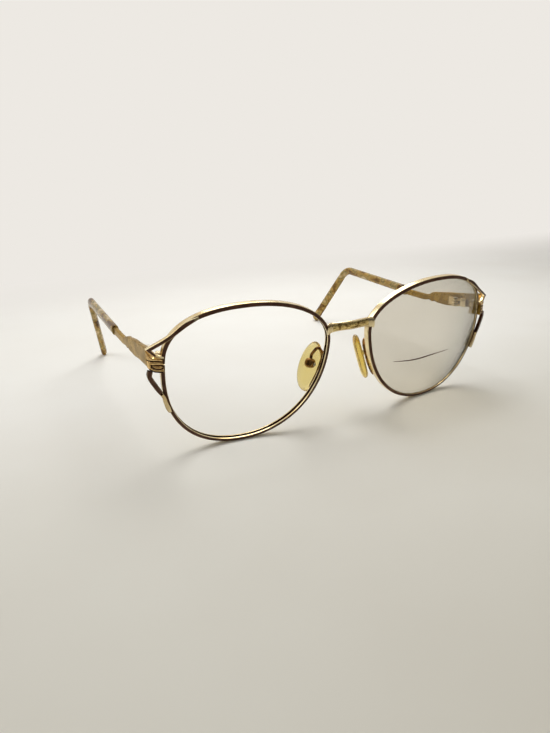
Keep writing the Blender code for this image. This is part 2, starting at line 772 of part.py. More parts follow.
def temple_route(stop_at=None):
    """Centre line through the sleeve: straight back, round the bend and down to the table."""
    x, y, top, bottom = temple_stations()[-1]
    start = Vector((x, y, (top + bottom) / 2))
    bend = Vector((BEND_HALF_SPAN, BEND_Y, BEND_LEVEL))
    end = Vector((TIP_HALF_SPAN, TIP_Y, tip_level()))
    first, second = (bend - start).normalized(), (end - bend).normalized()
    turn = math.acos(max(-1.0, min(1.0, first.dot(second))))
    cutback = BEND_RADIUS * math.tan(turn / 2)
    enter, leave = bend - first * cutback, bend + second * cutback
    inward = (second - first * first.dot(second)).normalized()
    centre = enter + inward * BEND_RADIUS
    return start, enter, leave, end, centre, first, inward, turn


def route_points(past_bend, along_steps=6, bend_steps=7, tip_steps=5):
    """Points and directions of the centre line, ending at the tip or `past_bend` beyond the bend."""
    start, enter, leave, end, centre, first, inward, turn = temple_route()
    points = []
    for k in range(along_steps):
        points.append((start.lerp(enter, k / along_steps), first))
    for k in range(bend_steps + 1):
        angle = turn * k / bend_steps
        spot = centre - inward * BEND_RADIUS * math.cos(angle) + first * BEND_RADIUS * math.sin(angle)
        points.append((spot, (first * math.cos(angle) + inward * math.sin(angle)).normalized()))
    second = (end - leave).normalized()
    length = (end - leave).length
    if past_bend is not None:
        length = min(past_bend, length)
    for k in range(1, tip_steps + 1):
        points.append((leave + second * length * k / tip_steps, second))
    return points


def frame_at(direction):
    """Sideways and upright directions across a route."""
    sideways = direction.cross(Vector((0, 0, 1))).normalized()
    upright = sideways.cross(direction).normalized()
    return sideways, upright


TIP_END_LEVEL = None


def tip_level():
    return TIP_END_LEVEL if TIP_END_LEVEL is not None else 1.6


def temple(side, prefix):
    """Scalloped paddle and slender bar in one piece with the flat core wire."""
    rings = []
    for x, y, top, bottom in temple_stations():
        middle = Vector((x, y, (top + bottom) / 2))
        section = chamfered(ARM_THICKNESS, top - bottom, 0.3)
        rings.append([middle + Vector((a, 0, b)) for a, b in section])
    core = route_points(CORE_PAST_BEND)
    first = core[0][0]
    neck = [(first + Vector((0, 0.4, 0)), core[0][1])]
    for point, direction in neck + core[1:]:
        sideways, upright = frame_at(direction)
        rings.append([point + sideways * a + upright * b for a, b in chamfered(CORE_THICKNESS, CORE_WIDTH, 0.2)])
    add(prefix + "_temple", loft(rings), ("polished_gilt",), side, hinge_axis(), smooth_angle=30)


def sleeve_rings():
    """Outer rings of the plastic sleeve, from its mouth to its round end."""
    along_steps, bend_steps, tip_steps = 6, 8, 7
    points = route_points(None, along_steps, bend_steps, tip_steps)
    rings = []
    for i, (point, direction) in enumerate(points):
        t = max(0.0, (i - along_steps - bend_steps) / tip_steps)
        height = SLEEVE_HEIGHT + (TIP_WIDTH - SLEEVE_HEIGHT) * t
        thickness = SLEEVE_THICKNESS + (TIP_THICKNESS - SLEEVE_THICKNESS) * t
        sideways, upright = frame_at(direction)
        if i == 0:
            first = point + direction * 0.5
            mouth = rounded(thickness * 0.82, height * 0.9, SLEEVE_SIDES)
            rings.append([first + sideways * a + upright * b for a, b in mouth])
            point = point + direction * 0.95
        rings.append([point + sideways * a + upright * b for a, b in rounded(thickness, height, SLEEVE_SIDES)])
    end, direction = points[-1]
    sideways, upright = frame_at(direction)
    for ahead, share in ((0.9, 0.9), (1.5, 0.66), (1.85, 0.34)):
        section = rounded(TIP_THICKNESS * share, TIP_WIDTH * share, SLEEVE_SIDES)
        rings.append([end + direction * ahead + sideways * a + upright * b for a, b in section])
    return rings


def sleeve_bore():
    """Rings of the blind bore round the core wire."""
    rings = []
    points = route_points(CORE_PAST_BEND + 1.0)
    for i, (point, direction) in enumerate(points):
        sideways, upright = frame_at(direction)
        spot = point + direction * 0.5 if i == 0 else point
        section = rounded(CORE_THICKNESS + 4 * RUNNING_GAP, CORE_WIDTH + 4 * RUNNING_GAP, SLEEVE_SIDES)
        rings.append([spot + sideways * a + upright * b for a, b in section])
    return rings


def stand_tip_on_table():
    """Lowers the sleeve's end until its lowest point meets the table."""
    global TIP_END_LEVEL
    TIP_END_LEVEL = 1.6
    for _ in range(3):
        TIP_END_LEVEL -= min(v.z for ring in sleeve_rings() for v in ring)


def temple_sleeve(side, prefix):
    """Marbled sleeve with a blind bore, pushed over the core wire."""
    outer, inner = sleeve_rings(), sleeve_bore()
    verts = [p for ring in outer + inner for p in ring]
    faces = []
    n = SLEEVE_SIDES
    for group, start in ((outer, 0), (inner, len(outer) * n)):
        for i in range(len(group) - 1):
            for k in range(n):
                a, b = start + i * n + k, start + i * n + (k + 1) % n
                faces.append((a, b, b + n, a + n))
        last = start + (len(group) - 1) * n
        faces.append(tuple(range(last, last + n)))
    mouth = len(outer) * n
    for k in range(n):
        faces.append((k, (k + 1) % n, mouth + (k + 1) % n, mouth + k))
    add(prefix + "_temple_sleeve", (verts, faces), ("marbled_acetate",), side, hinge_axis(), smooth_angle=40)


# Nose pads

def pad_frame():
    """Pad centre with its long, wide and nose-facing directions."""
    lean, splay = math.radians(PAD_FRONTAL_ANGLE), math.radians(PAD_SPLAY_ANGLE)
    long = Vector((-math.sin(lean), 0, math.cos(lean)))
    wide = Vector((math.sin(splay), math.cos(splay), 0))
    wide = (wide - long * wide.dot(long)).normalized()
    nose = long.cross(wide).normalized()
    return Vector((LENS_SPACING / 2 - PAD_INBOARD, PAD_BEHIND, PAD_LEVEL)), long, wide, nose


def pad_box_centre():
    centre, long, wide, nose = pad_frame()
    away = PAD_THICKNESS / 2 + BOX_STANDOFF + BOX_DEPTH / 2
    return centre + long * BOX_ABOVE_CENTRE - wide * BOX_FORWARD - nose * away


def nose_pad(side, prefix):
    """Egg-shaped crowned pad with the boss that the box holds."""
    centre, long, wide, nose = pad_frame()
    levels = ((-0.5, 0.72), (-0.36, 0.91), (-0.1, 1.0), (0.2, 0.94), (0.42, 0.72), (0.5, 0.42))
    rings = []
    for level, share in levels:
        ring = []
        for k in range(24):
            angle = 2 * math.pi * k / 24
            c, s = math.cos(angle), math.sin(angle)
            width = PAD_WIDTH / 2 * (1 - 0.1 * s)
            spot = centre + (long * s * PAD_LENGTH / 2 + wide * c * width) * share
            ring.append(spot + nose * level * PAD_THICKNESS)
        rings.append(ring)
    pivot = pad_box_centre()
    pad = add(prefix + "_nose_pad", loft(rings), ("amber_pad",), side, pivot)
    reach = (pivot - centre).dot(nose)
    back = PAD_THICKNESS * -0.5 - reach
    stem = [(PAD_BOSS_RADIUS, -0.6), (PAD_BOSS_RADIUS, back - 0.25)]
    stem += [(PAD_BOSS_RADIUS * 1.3, back - 0.1), (PAD_BOSS_RADIUS * 1.3, back + 0.4)]
    boss = cutter(prefix + "_pad_boss", turned(pivot, nose, stem, 12), side, pivot)
    cut(pad, boss, "UNION")
    bore = cylinder(pivot, wide, PAD_SCREW_RADIUS + PIN_GAP, -BOX_WIDTH, BOX_WIDTH, 12)
    cut(pad, cutter(prefix + "_pad_bore", bore, side, pivot))


def pad_box(side, prefix):
    """Open box on the arm's end, and the screw across it that the pad rocks on."""
    centre, long, wide, nose = pad_frame()
    middle = pad_box_centre()
    frame = (long, wide, nose)
    floor = middle - nose * 0.2
    shell = add(prefix + "_pad_box", box(floor, frame, (BOX_LENGTH, BOX_WIDTH, BOX_DEPTH)), ("polished_gilt",), side)
    inside = (BOX_LENGTH - 2 * BOX_WALL, BOX_WIDTH - 2 * BOX_WALL, BOX_DEPTH)
    cut(shell, cutter(prefix + "_box_hollow", box(floor + nose * BOX_FLOOR, frame, inside), side))
    bore = cylinder(middle, wide, PAD_SCREW_RADIUS + PIN_GAP, -BOX_WIDTH, BOX_WIDTH, 12)
    cut(shell, cutter(prefix + "_box_bore", bore, side))
    half, r, head = BOX_WIDTH / 2, PAD_SCREW_RADIUS, PAD_SCREW_HEAD_RADIUS
    profile = [(r, half + 0.1), (r, -half - SOLDER_GAP), (head, -half - SOLDER_GAP), (head * 0.8, -half - 0.4)]
    add(prefix + "_pad_screw", turned(middle, wide, profile[::-1], 12), ("nickel_steel",), side)


def pad_arm(side, prefix, clearance):
    """Bent wire that climbs behind the rim, loops over and comes down to the box."""
    centre, long, wide, nose = pad_frame()
    climb = []
    for share, behind in ((1.0, 0.5), (0.88, 0.95), (0.5, 1.0), (0.0, 1.1)):
        p = outline_point(angle_at(ARM_FOOT_V * share, nasal=True), RIM_WIDTH * 0.6 + ARM_SETOFF)
        climb.append(on_front(p.x, p.y, RIM_DEPTH + ARM_BEHIND * behind))
    lid = pad_box_centre() - nose * 0.2 + long * (BOX_LENGTH / 2 + SOLDER_GAP)
    crest = Vector(((lid.x + climb[-1].x) / 2 - ARM_LOOP_LEAN, (lid.y + climb[-1].y) / 2, ARM_LOOP_LEVEL))
    near = Vector((climb[-1].x - ARM_LOOP_LEAN * 0.6, climb[-1].y + ARM_LOOP_LEAN / 2, ARM_LOOP_LEVEL - ARM_DROP))
    far = lid + long * ARM_DROP
    route = [Vector(p) for p in smooth_route(climb + [near, crest, far, lid], 3)]
    rings = []
    hint = Vector((0.3, 1, 0)).normalized()
    for i, point in enumerate(route):
        along = (route[min(i + 1, len(route) - 1)] - route[max(i - 1, 0)]).normalized()
        if i == len(route) - 1:
            along = -long
        across = (hint - along * hint.dot(along)).normalized()
        hint = across
        other = along.cross(across)
        ring = []
        for k in range(8):
            angle = math.pi * (k + 0.5) / 4
            ring.append(point + (across * math.cos(angle) + other * math.sin(angle)) * ARM_WIRE_RADIUS)
        rings.append(ring)
    cut(add(prefix + "_pad_arm", loft(rings), ("polished_gilt",), side), clearance)


# Lens

def lens(side, name):
    """Minus meniscus whose bevelled edge sits in the eyewire's groove."""
    body_edge, bevel_depth = -LENS_CLEARANCE, RIM_DEPTH / 2
    shares = (0.35, 0.66, 0.88)
    front, back = [], []
    for share in shares + (1.0,):
        ring_front, ring_back = [], []
        for k in range(LENS_STATIONS):
            p = outline_point(2 * math.pi * k / LENS_STATIONS, body_edge) * share
            sag = p.length_squared / 2
            thickness = LENS_CENTRE_THICKNESS + sag * (1 / LENS_BACK_RADIUS - 1 / BASE_RADIUS)
            ring_front.append(on_front(p.x, p.y, LENS_SEAT))
            ring_back.append(on_front(p.x, p.y, LENS_SEAT + thickness))
        front.append(ring_front)
        back.append(ring_back)
    edge = []
    for offset, depth in ((body_edge, bevel_depth - 0.3), (LENS_BEVEL, bevel_depth), (body_edge, bevel_depth + 0.3)):
        ring = []
        for k in range(LENS_STATIONS):
            p = outline_point(2 * math.pi * k / LENS_STATIONS, offset)
            ring.append(on_front(p.x, p.y, depth))
        edge.append(ring)
    add(name, loft(front + edge + back[::-1]), ("tinted_lens",), side, smooth_angle=40)


def stand_on_origin():
    """Moves the assembly so that its box stands centred on the world origin."""
    bpy.context.view_layer.update()
    ys = []
    for obj in bpy.context.scene.objects:
        if obj.type == "MESH" and not obj.hide_render:
            ys += [(obj.matrix_world @ v.co).y for v in obj.data.vertices]
    SPECTACLES.location.y = -(min(ys) + max(ys)) / 2


def main():
    global SPECTACLES
    for obj in list(bpy.data.objects):
        bpy.data.objects.remove(obj, do_unlink=True)
    SPECTACLES = bpy.data.objects.new("spectacles", None)
    bpy.context.scene.collection.objects.link(SPECTACLES)
    stand_tip_on_table()
    clearances = {}
    for side, prefix in ((1, "left"), (-1, "right")):
        clearances[side] = rim_clearance(side, prefix + "_rim_clearance")
        eyewire(side, prefix + "_eyewire")
        endpiece(side, prefix + "_endpiece", [clearances[side]])
        block_clearance = cutter(prefix + "_endpiece_clearance", endpiece_body(SOLDER_GAP), side)
        upper_strut(side, prefix + "_upper_strut", [clearances[side], block_clearance])
        lower_strut(side, prefix + "_lower_strut", [clearances[side], block_clearance])
        rim_lock(side, prefix, clearances[side])
        hinge(side, prefix)
        temple(side, prefix)
        temple_sleeve(side, prefix)
        pad_arm(side, prefix, clearances[side])
        pad_box(side, prefix)
        nose_pad(side, prefix)
    bridge(clearances.values())
    lens(1, "left_lens")
    stand_on_origin()


main()
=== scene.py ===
"""Gilt oval spectacles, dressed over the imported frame: enamelled eyewires, reeded ends, marbled sleeves,
amber pads and the one tinted lens. Shapes are worked in millimetres from the front's own plane."""

import math

import bmesh
import bpy
from mathutils import Matrix, Vector


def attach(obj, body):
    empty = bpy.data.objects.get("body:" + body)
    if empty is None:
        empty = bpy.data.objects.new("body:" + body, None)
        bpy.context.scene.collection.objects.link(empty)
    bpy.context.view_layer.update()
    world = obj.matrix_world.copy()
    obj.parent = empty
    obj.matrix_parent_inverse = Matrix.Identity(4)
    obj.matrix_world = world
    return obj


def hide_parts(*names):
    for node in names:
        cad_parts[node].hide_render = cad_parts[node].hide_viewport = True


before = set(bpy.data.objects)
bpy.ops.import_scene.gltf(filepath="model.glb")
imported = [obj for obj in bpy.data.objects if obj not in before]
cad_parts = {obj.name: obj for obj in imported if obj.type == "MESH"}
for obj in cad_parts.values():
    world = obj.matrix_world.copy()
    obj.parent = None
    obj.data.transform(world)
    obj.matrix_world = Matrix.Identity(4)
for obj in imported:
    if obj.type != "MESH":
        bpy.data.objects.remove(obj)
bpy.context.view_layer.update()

MM = 0.001
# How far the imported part's middle lies behind the front's plane, in mm
BACK_SHIFT = 67.4014

# Eyewire outline and section, in mm
TEMPORAL_REACH, NASAL_REACH, TOP_REACH, BOTTOM_REACH = 26.2, 29.1, 16.0, 30.7
FULLNESS = {(True, True): 2.34, (True, False): 1.95, (False, False): 2.14, (False, True): 2.3}
OUTLINE_SKEW = -0.075
RIM_WIDTH, RIM_DEPTH, RIM_CHAMFER = 1.3, 2.2, 0.2
LENS_SPACING, WRAP_ANGLE, PANTOSCOPIC_TILT, BASE_RADIUS = 74.2, 4.7, 7.9, 90.0
SOLDER_GAP, SLIT = 0.06, 0.3

# Bridge, ends and struts
BRIDGE_LEVEL, BRIDGE_DROP, BRIDGE_RISE, BRIDGE_FORWARD = 11.4, 0.65, 0.35, -0.9
BRIDGE_HEIGHT, BRIDGE_END_HEIGHT, BRIDGE_THICKNESS, CLAW_PROUD, CLAW_LAP = 3.1, 3.8, 1.9, 0.9, 1.0
BLOCK_LEVEL, BLOCK_HEIGHT, BLOCK_PROUD, BLOCK_THICKNESS, BLOCK_LAP = 7.25, 4.4, 1.5, 3.0, 0.5
CORNER_LENGTH, REED_DEPTH = 2.6, 0.3
ARM_THICKNESS, ARM_OUTSET, SEAM_Y = 1.5, 3.73, 19.3
ARM_TOP_FRONT, ARM_TOP_SEAM, ARM_BOTTOM_FRONT, ARM_BOTTOM_SEAM = 37.5, 36.4, 31.4, 30.8
STRUT_WIDTH, STRUT_THICKNESS, STRUT_PROUD, STRUT_START_V = 1.1, 1.4, 1.3, 20.9
STRUT_LEAVE, STRUT_CORNER, RETURN_HEIGHT, RETURN_SAG = (26.0, 16.0), (32.1, 12.3), 0.35, 0.6
START_PROUD, START_THICKNESS, LOWER_BULGE, LOWER_KNEE = 0.5, 0.6, (32.35, 3.3), (30.45, -0.5)
TAIL_START_V, TAIL_END_V, TAIL_WIDTH = -3.2, -8.6, 1.45

# Temples and sleeves
RUNNING_GAP, KNUCKLE_RADIUS, LEAF_LENGTH = 0.12, 1.3, 3.4
SHOULDER_Y, SHOULDER_HEIGHT, SCALLOP_LENGTH, SCALLOP_DEPTH, NECK_Y = 33.0, 4.9, 3.2, 0.45, 43.0
SLEEVE_START_Y, SLEEVE_START_LEVEL, NECK_LEVEL, BAR_HEIGHT = 57.0, 31.65, 31.35, 2.8
CORE_WIDTH, CORE_THICKNESS, CORE_PAST_BEND = 1.3, 0.8, 14.0
BEND_OUTSET, BEND_Y, BEND_LEVEL, BEND_RADIUS = 1.6, 109.4, 34.15, 9.5
TIP_INSET, TIP_Y = 4.5, 133.5
SLEEVE_HEIGHT, SLEEVE_THICKNESS, TIP_WIDTH, TIP_THICKNESS = 4.0, 2.7, 4.7, 2.9

# Nose pads and their arms
PAD_CENTRE, PAD_FRONTAL_ANGLE, PAD_SPLAY_ANGLE = (LENS_SPACING / 2 - 26.3, 10.3, 20.2), 17.3, 30.0
PAD_LENGTH, PAD_WIDTH, PAD_THICKNESS, PAD_BOSS_RADIUS = 18.6, 9.2, 2.9, 0.75
BOX_ABOVE_CENTRE, BOX_FORWARD, BOX_STANDOFF, BOX_LENGTH, BOX_WIDTH, BOX_DEPTH = 1.7, 0.9, 0.2, 3.4, 3.6, 2.0
ARM_WIRE_RADIUS, ARM_FOOT_V, ARM_SETOFF, ARM_LOOP_LEVEL = 0.55, -9.8, 0.15, 28.0
ARM_BEHIND, ARM_LOOP_LEAN, ARM_DROP = 0.8, 0.6, 1.6

# Lens, and its reading segment's edge as (u, v) on the front
LENS_SEAT, LENS_CENTRE_THICKNESS, LENS_BACK_RADIUS, LENS_CLEARANCE, LENS_BEVEL = 0.45, 1.2, 80.0, 0.1, 0.35
SEGMENT_EDGE = ((-17.6, -5.0), (-10.3, -5.6), (-4.9, -5.6), (0.8, -5.3), (10.5, -5.3))


# The eyewire's outline and the face it lies on

def quarter_edge(angle):
    """A point of the lens opening's edge, before it is centred."""
    c, s = math.cos(angle), math.sin(angle)
    reach_u = TEMPORAL_REACH if c >= 0 else NASAL_REACH
    reach_v = TOP_REACH if s >= 0 else BOTTOM_REACH
    power = FULLNESS[(s >= 0, c >= 0)]
    radius = ((abs(c) / reach_u) ** power + (abs(s) / reach_v) ** power) ** (-1 / power)
    return Vector((radius * c + OUTLINE_SKEW * radius * s, radius * s))


EDGE = [quarter_edge(math.radians(k)) for k in range(360)]
MIDDLE = Vector(((min(p.x for p in EDGE) + max(p.x for p in EDGE)) / 2,
                 (min(p.y for p in EDGE) + max(p.y for p in EDGE)) / 2))


def outline_point(angle, offset=0.0):
    """(u, v) on the front, a distance outside the lens opening's edge."""
    tangent = quarter_edge(angle + 0.004) - quarter_edge(angle - 0.004)
    return quarter_edge(angle) + Vector((tangent.y, -tangent.x)).normalized() * offset - MIDDLE


def angle_at(v, nasal=False):
    """The outline's angle where it is at this height, at its temple side or its nose side."""
    low, high = (math.radians(269), math.radians(91)) if nasal else (math.radians(-89), math.radians(89))
    for _ in range(40):
        middle = (low + high) / 2
        low, high = (middle, high) if outline_point(middle).y < v else (low, middle)
    return (low + high) / 2


def lay_on_face(u, v, depth, lens_height):
    """Lays (u, v) and a depth behind the front on its curved, wrapped and tilted surface."""
    wrap, tilt = math.radians(WRAP_ANGLE), math.radians(PANTOSCOPIC_TILT)
    back = (u * u + v * v) / (2 * BASE_RADIUS) + depth
    x = LENS_SPACING / 2 + u * math.cos(wrap) - back * math.sin(wrap)
    y = u * math.sin(wrap) + back * math.cos(wrap)
    return Vector((x, y * math.cos(tilt) - v * math.sin(tilt),
                   y * math.sin(tilt) + v * math.cos(tilt) + lens_height))


def standing_height():
    """How high the lens's middle is when the rim stands on the table."""
    lowest = 0.0
    for k in range(180):
        for offset, depths in ((RIM_WIDTH, (RIM_CHAMFER, RIM_DEPTH - RIM_CHAMFER)),
                               (RIM_WIDTH - RIM_CHAMFER, (0.0, RIM_DEPTH))):
            p = outline_point(math.radians(180 + k), offset)
            lowest = min([lowest] + [lay_on_face(p.x, p.y, depth, 0.0).z for depth in depths])
    return -lowest


LENS_HEIGHT = standing_height()


def on_front(u, v, depth=0.0):
    return lay_on_face(u, v, depth, LENS_HEIGHT)


RIM_AT_BLOCK = outline_point(angle_at(BLOCK_LEVEL), RIM_WIDTH)
ARM_HALF_SPAN = on_front(RIM_AT_BLOCK.x, RIM_AT_BLOCK.y).x + ARM_OUTSET
BEND_HALF_SPAN, TIP_HALF_SPAN = ARM_HALF_SPAN + BEND_OUTSET, ARM_HALF_SPAN - TIP_INSET


def smooth_route(points, steps):
    """Catmull-Rom curve through points of any number of coordinates."""
    ends = [[2 * a - b for a, b in zip(points[0], points[1])]] + [list(p) for p in points]
    ends.append([2 * a - b for a, b in zip(points[-1], points[-2])])
    route = []
    for i in range(1, len(ends) - 2):
        for k in range(steps):
            t = k / steps
            weights = (-t + 2 * t**2 - t**3, 2 - 5 * t**2 + 3 * t**3, t + 4 * t**2 - 3 * t**3, t**3 - t**2)
            route.append([sum(w * p[axis] for w, p in zip(weights, ends[i - 1:i + 3])) / 2
                          for axis in range(len(points[0]))])
    route.append(list(points[-1]))
    return route


def soft_section(width, height, sides=16, power=3.0):
    """Cushion-shaped section: flat sides, round corners."""
    points = []
    for k in range(sides):
        angle = 2 * math.pi * (k + 0.5) / sides
        c, s = math.cos(angle), math.sin(angle)
        radius = ((abs(c) / (width / 2)) ** power + (abs(s) / (height / 2)) ** power) ** (-1 / power)
        points.append((radius * c, radius * s))
    return points


def round_corners(corners, radius, steps=3):
    """A closed section whose corners are turned by a small radius."""
    points = []
    for i, corner in enumerate(corners):
        here, before, after = Vector(corner), Vector(corners[i - 1]), Vector(corners[(i + 1) % len(corners)])
        a, b = before - here, after - here
        cut = min(radius, a.length * 0.45, b.length * 0.45)
        start, end = here + a.normalized() * cut, here + b.normalized() * cut
        for k in range(steps + 1):
            t = k / steps
            points.append(tuple(start * (1 - t) ** 2 + here * 2 * t * (1 - t) + end * t * t))
    return points


# Making pieces

def deselect():
    if bpy.context.mode != "OBJECT":
        bpy.ops.object.mode_set(mode="OBJECT")
    bpy.ops.object.select_all(action="DESELECT")


def take(obj):
    deselect()
    obj.select_set(True)
    bpy.context.view_layer.objects.active = obj


def in_metres(point):
    return Vector((point[0] * MM, (point[1] - BACK_SHIFT) * MM, point[2] * MM))


def tidy_surface(obj):
    """Merges seams and poles, closes open ends and turns the faces outwards."""
    take(obj)
    bpy.ops.object.mode_set(mode="EDIT")
    bpy.ops.mesh.select_all(action="SELECT")
    bpy.ops.mesh.remove_doubles(threshold=1e-7)
    bpy.ops.mesh.select_all(action="DESELECT")
    bpy.ops.mesh.select_mode(type="EDGE")
    bpy.ops.mesh.select_non_manifold(extend=False, use_wire=False, use_boundary=True, use_multi_face=False,
                                     use_non_contiguous=False, use_verts=False)
    bpy.ops.mesh.fill_holes(sides=0)
    bpy.ops.mesh.select_all(action="SELECT")
    bpy.ops.mesh.normals_make_consistent(inside=False)
    bpy.ops.mesh.select_all(action="DESELECT")
    bpy.ops.object.mode_set(mode="OBJECT")


def swept(name, rings):
    """A grid wrapped round the stations of a sweep, its seam merged and its ends closed."""
    across = len(rings[0])
    deselect()
    bpy.ops.mesh.primitive_grid_add(x_subdivisions=across, y_subdivisions=len(rings) - 1, size=0.01)
    obj = bpy.context.active_object
    obj.name = obj.data.name = name
    for index, vert in enumerate(obj.data.vertices):
        row, column = divmod(index, across + 1)
        vert.co = in_metres(rings[row][column % across])
    obj.location = (0, 0, 0)
    tidy_surface(obj)
    return obj


def hoop(centre, across, other, radius, sides):
    """Points round a circle whose plane is given by two directions."""
    spokes = [2 * math.pi * k / sides for k in range(sides)]
    return [centre + (across * math.cos(a) + other * math.sin(a)) * radius for a in spokes]


def turned(name, centre, axis, profile, sides):
    """Solid of revolution from (radius, level) pairs."""
    axis = Vector(axis).normalized()
    across = axis.orthogonal().normalized()
    other = axis.cross(across)
    return swept(name, [hoop(centre + axis * level, across, other, radius, sides) for radius, level in profile])


def finish_modifier(obj, kind, **settings):
    take(obj)
    modifier = obj.modifiers.new(kind.title(), kind)
    for key, value in settings.items():
        setattr(modifier, key, value)
    bpy.ops.object.modifier_apply(modifier=modifier.name)


def smooth(obj, degrees=40):
    take(obj)
    bpy.ops.object.shade_smooth_by_angle(angle=math.radians(degrees))


def mirrored(obj, name):
    """The other side's piece, with a mesh of its own."""
    copy = obj.copy()
    copy.data = obj.data.copy()
    copy.name = copy.data.name = name
    bpy.context.scene.collection.objects.link(copy)
    work = bmesh.new()
    work.from_mesh(copy.data)
    bmesh.ops.scale(work, vec=(-1, 1, 1), verts=work.verts)
    bmesh.ops.reverse_faces(work, faces=work.faces)
    work.to_mesh(copy.data)
    work.free()
    return copy


# Materials

def linear(hex_colour):
    channels = [int(hex_colour[i:i + 2], 16) / 255 for i in (0, 2, 4)]
    return (*(c / 12.92 if c <= 0.04045 else ((c + 0.055) / 1.055) ** 2.4 for c in channels), 1.0)


def node(tree, kind, settings=None, **links):
    """Adds a node. Settings are its properties or its sockets' constants, and links (node, output) pairs."""
    made = tree.nodes.new(kind)
    for key, value in (settings or {}).items():
        if isinstance(key, str) and hasattr(made, key) and key not in made.inputs:
            setattr(made, key, value)
        else:
            made.inputs[key].default_value = value
    for key, (source, output) in links.items():
        socket = int(key[1:]) if key[0] == "i" and key[1:].isdigit() else key.replace("_", " ")
        tree.links.new(source.outputs[output], made.inputs[socket])
    return made


SOCKETS = {"metallic": "Metallic", "roughness": "Roughness", "ior": "IOR", "shine": "Specular IOR Level",
           "shine_tint": "Specular Tint", "clear": "Transmission Weight"}


def new_material(name, **constants):
    """A material, its tree and its shader, with the shader's own constants set."""
    made = bpy.data.materials.new(name)
    made.use_nodes = True
    tree = made.node_tree
    shader = tree.nodes["Principled BSDF"]
    for key, value in constants.items():
        shader.inputs[SOCKETS[key]].default_value = value
    return made, tree, shader


def noise(tree, patch_mm, detail, vector=None, **settings):
    """Noise with patches of about this size, on the piece's own coordinates unless others are given."""
    vector = vector or (node(tree, "ShaderNodeTexCoord"), "Object")
    return node(tree, "ShaderNodeTexNoise", {"Scale": 1 / (patch_mm * MM), "Detail": detail, **settings},
                Vector=vector)


def colour_ramp(tree, source, stops):
    ramp = node(tree, "ShaderNodeValToRGB", None, Fac=source)
    while len(ramp.color_ramp.elements) < len(stops):
        ramp.color_ramp.elements.new(0.5)
    for element, (position, colour) in zip(ramp.color_ramp.elements, stops):
        element.position = position
        element.color = linear(colour)
    return ramp


def base_colour(tree, shader, source, stops):
    """The surface's colour, from a ramp over the source."""
    tone = colour_ramp(tree, source, stops)
    tree.links.new(tone.outputs["Color"], shader.inputs["Base Color"])


def plated(name, bright, worn, roughness, scratch_mm=0.25, bump=0.02, patch_mm=4.0, shine_tint="FFFFFF"):
    """Electroplated metal: mirror-like, a little warmer and duller where hands have worn it."""
    made, tree, shader = new_material(name, metallic=1.0, shine_tint=linear(shine_tint))
    patches = noise(tree, patch_mm, 3.0)
    base_colour(tree, shader, (patches, "Fac"), ((0.38, bright), (0.65, worn)))
    gloss = node(tree, "ShaderNodeMapRange", {"To Min": roughness * 0.75, "To Max": roughness * 1.5},
                 Value=(patches, "Fac"))
    tree.links.new(gloss.outputs["Result"], shader.inputs["Roughness"])
    grain = noise(tree, scratch_mm, 2.0)
    relief = node(tree, "ShaderNodeBump", {"Strength": bump, "Distance": 0.05 * MM}, Height=(grain, "Fac"))
    tree.links.new(relief.outputs["Normal"], shader.inputs["Normal"])
    return made


# Thin gold plate over nickel silver, polished: pale yellow lights, umber shades
GILT = plated("polished_gold_plate", "EEDDB3", "D6BC8A", 0.18)
# The same plate made dark, brown and dull as painted shade, laid in grooves, furrows, scallops and on shaded
# sides
SHADED = plated("painted_shade_brown", "43261A", "2B160D", 0.45)
# Plate on the side arms and ends: the gilt made darker and browner as painted shade, in random patches. At a
# low angle it pales to cream
SHADE_DARKENED_GILT = plated("shade_darkened_side_gilt", "AA8A42", "84672C", 0.25, 0.9, 0.05, shine_tint="F0E8D8")
# The block's engraved face, polished after engraving
ENGRAVED = plated("engraved_block_gilt", "EAC88C", "B58E55", 0.2, patch_mm=1.2)
# Plate on the pads' wires, dark brown; on the boxes' lips and insides it is painted shade
DARK_WIRE_AND_BOX_SHADE = plated("dark_wire_gilt_and_box_shade", "8A6234", "402611", 0.18, patch_mm=1.5)
# The bridge's front, hammered, mottled dark and bright as a painted reflection of the room in front
BRIDGE_DARK_REFLECTION = plated("bridge_gilt_painted_reflection", "F2D890", "755528", 0.26, 0.5, 0.2, 0.9)
# The outside of the pads' boxes: a darker, browner gilt in small patches
BOXED = plated("dark_patchy_box_gilt", "A87F46", "5E4020", 0.2, patch_mm=0.9)
# Nickel-silver screws and hinge leaves, tumbled: greyer and duller than the plate
NICKEL = plated("tumbled_nickel_silver", "C9C4B8", "AFA794", 0.24)


def enamel():
    """Fired brown enamel, glassy, in pools of lighter and darker brown."""
    made, tree, shader = new_material("fired_brown_enamel", roughness=0.28, ior=1.5, shine=0.3,
                                      shine_tint=linear("E8CDB4"))
    pools = noise(tree, 2.5, 2.0)
    base_colour(tree, shader, (pools, "Fac"), ((0.3, "452B22"), (0.6, "5C3F33"), (0.8, "725141")))
    return made


def marbled():
    """Cellulose acetate: long honey and amber patches, clear cream ones and smoky olive drift."""
    made, tree, shader = new_material("marbled_honey_acetate", roughness=0.2, ior=1.48, shine=0.35,
                                      shine_tint=linear("E6CFA0"), clear=0.4)
    place = node(tree, "ShaderNodeTexCoord")
    long = node(tree, "ShaderNodeVectorMath", {"operation": "MULTIPLY", 1: (1.0, 0.45, 0.6)},
                i0=(place, "Object"))
    drift = noise(tree, 5, 1.0, (long, "Vector"))
    bent = node(tree, "ShaderNodeVectorMath", {"operation": "MULTIPLY_ADD", 1: (0.003, 0.003, 0.003)},
                i0=(drift, "Color"), i2=(long, "Vector"))
    clouds = noise(tree, 3.4, 2.0, (bent, "Vector"), Roughness=0.45)
    base_colour(tree, shader, (clouds, "Fac"), ((0.34, "6A4822"), (0.42, "9A7434"), (0.5, "D9B568"),
                                                (0.56, "968A56"), (0.63, "DDBE82"), (0.72, "F3E2BE")))
    return made


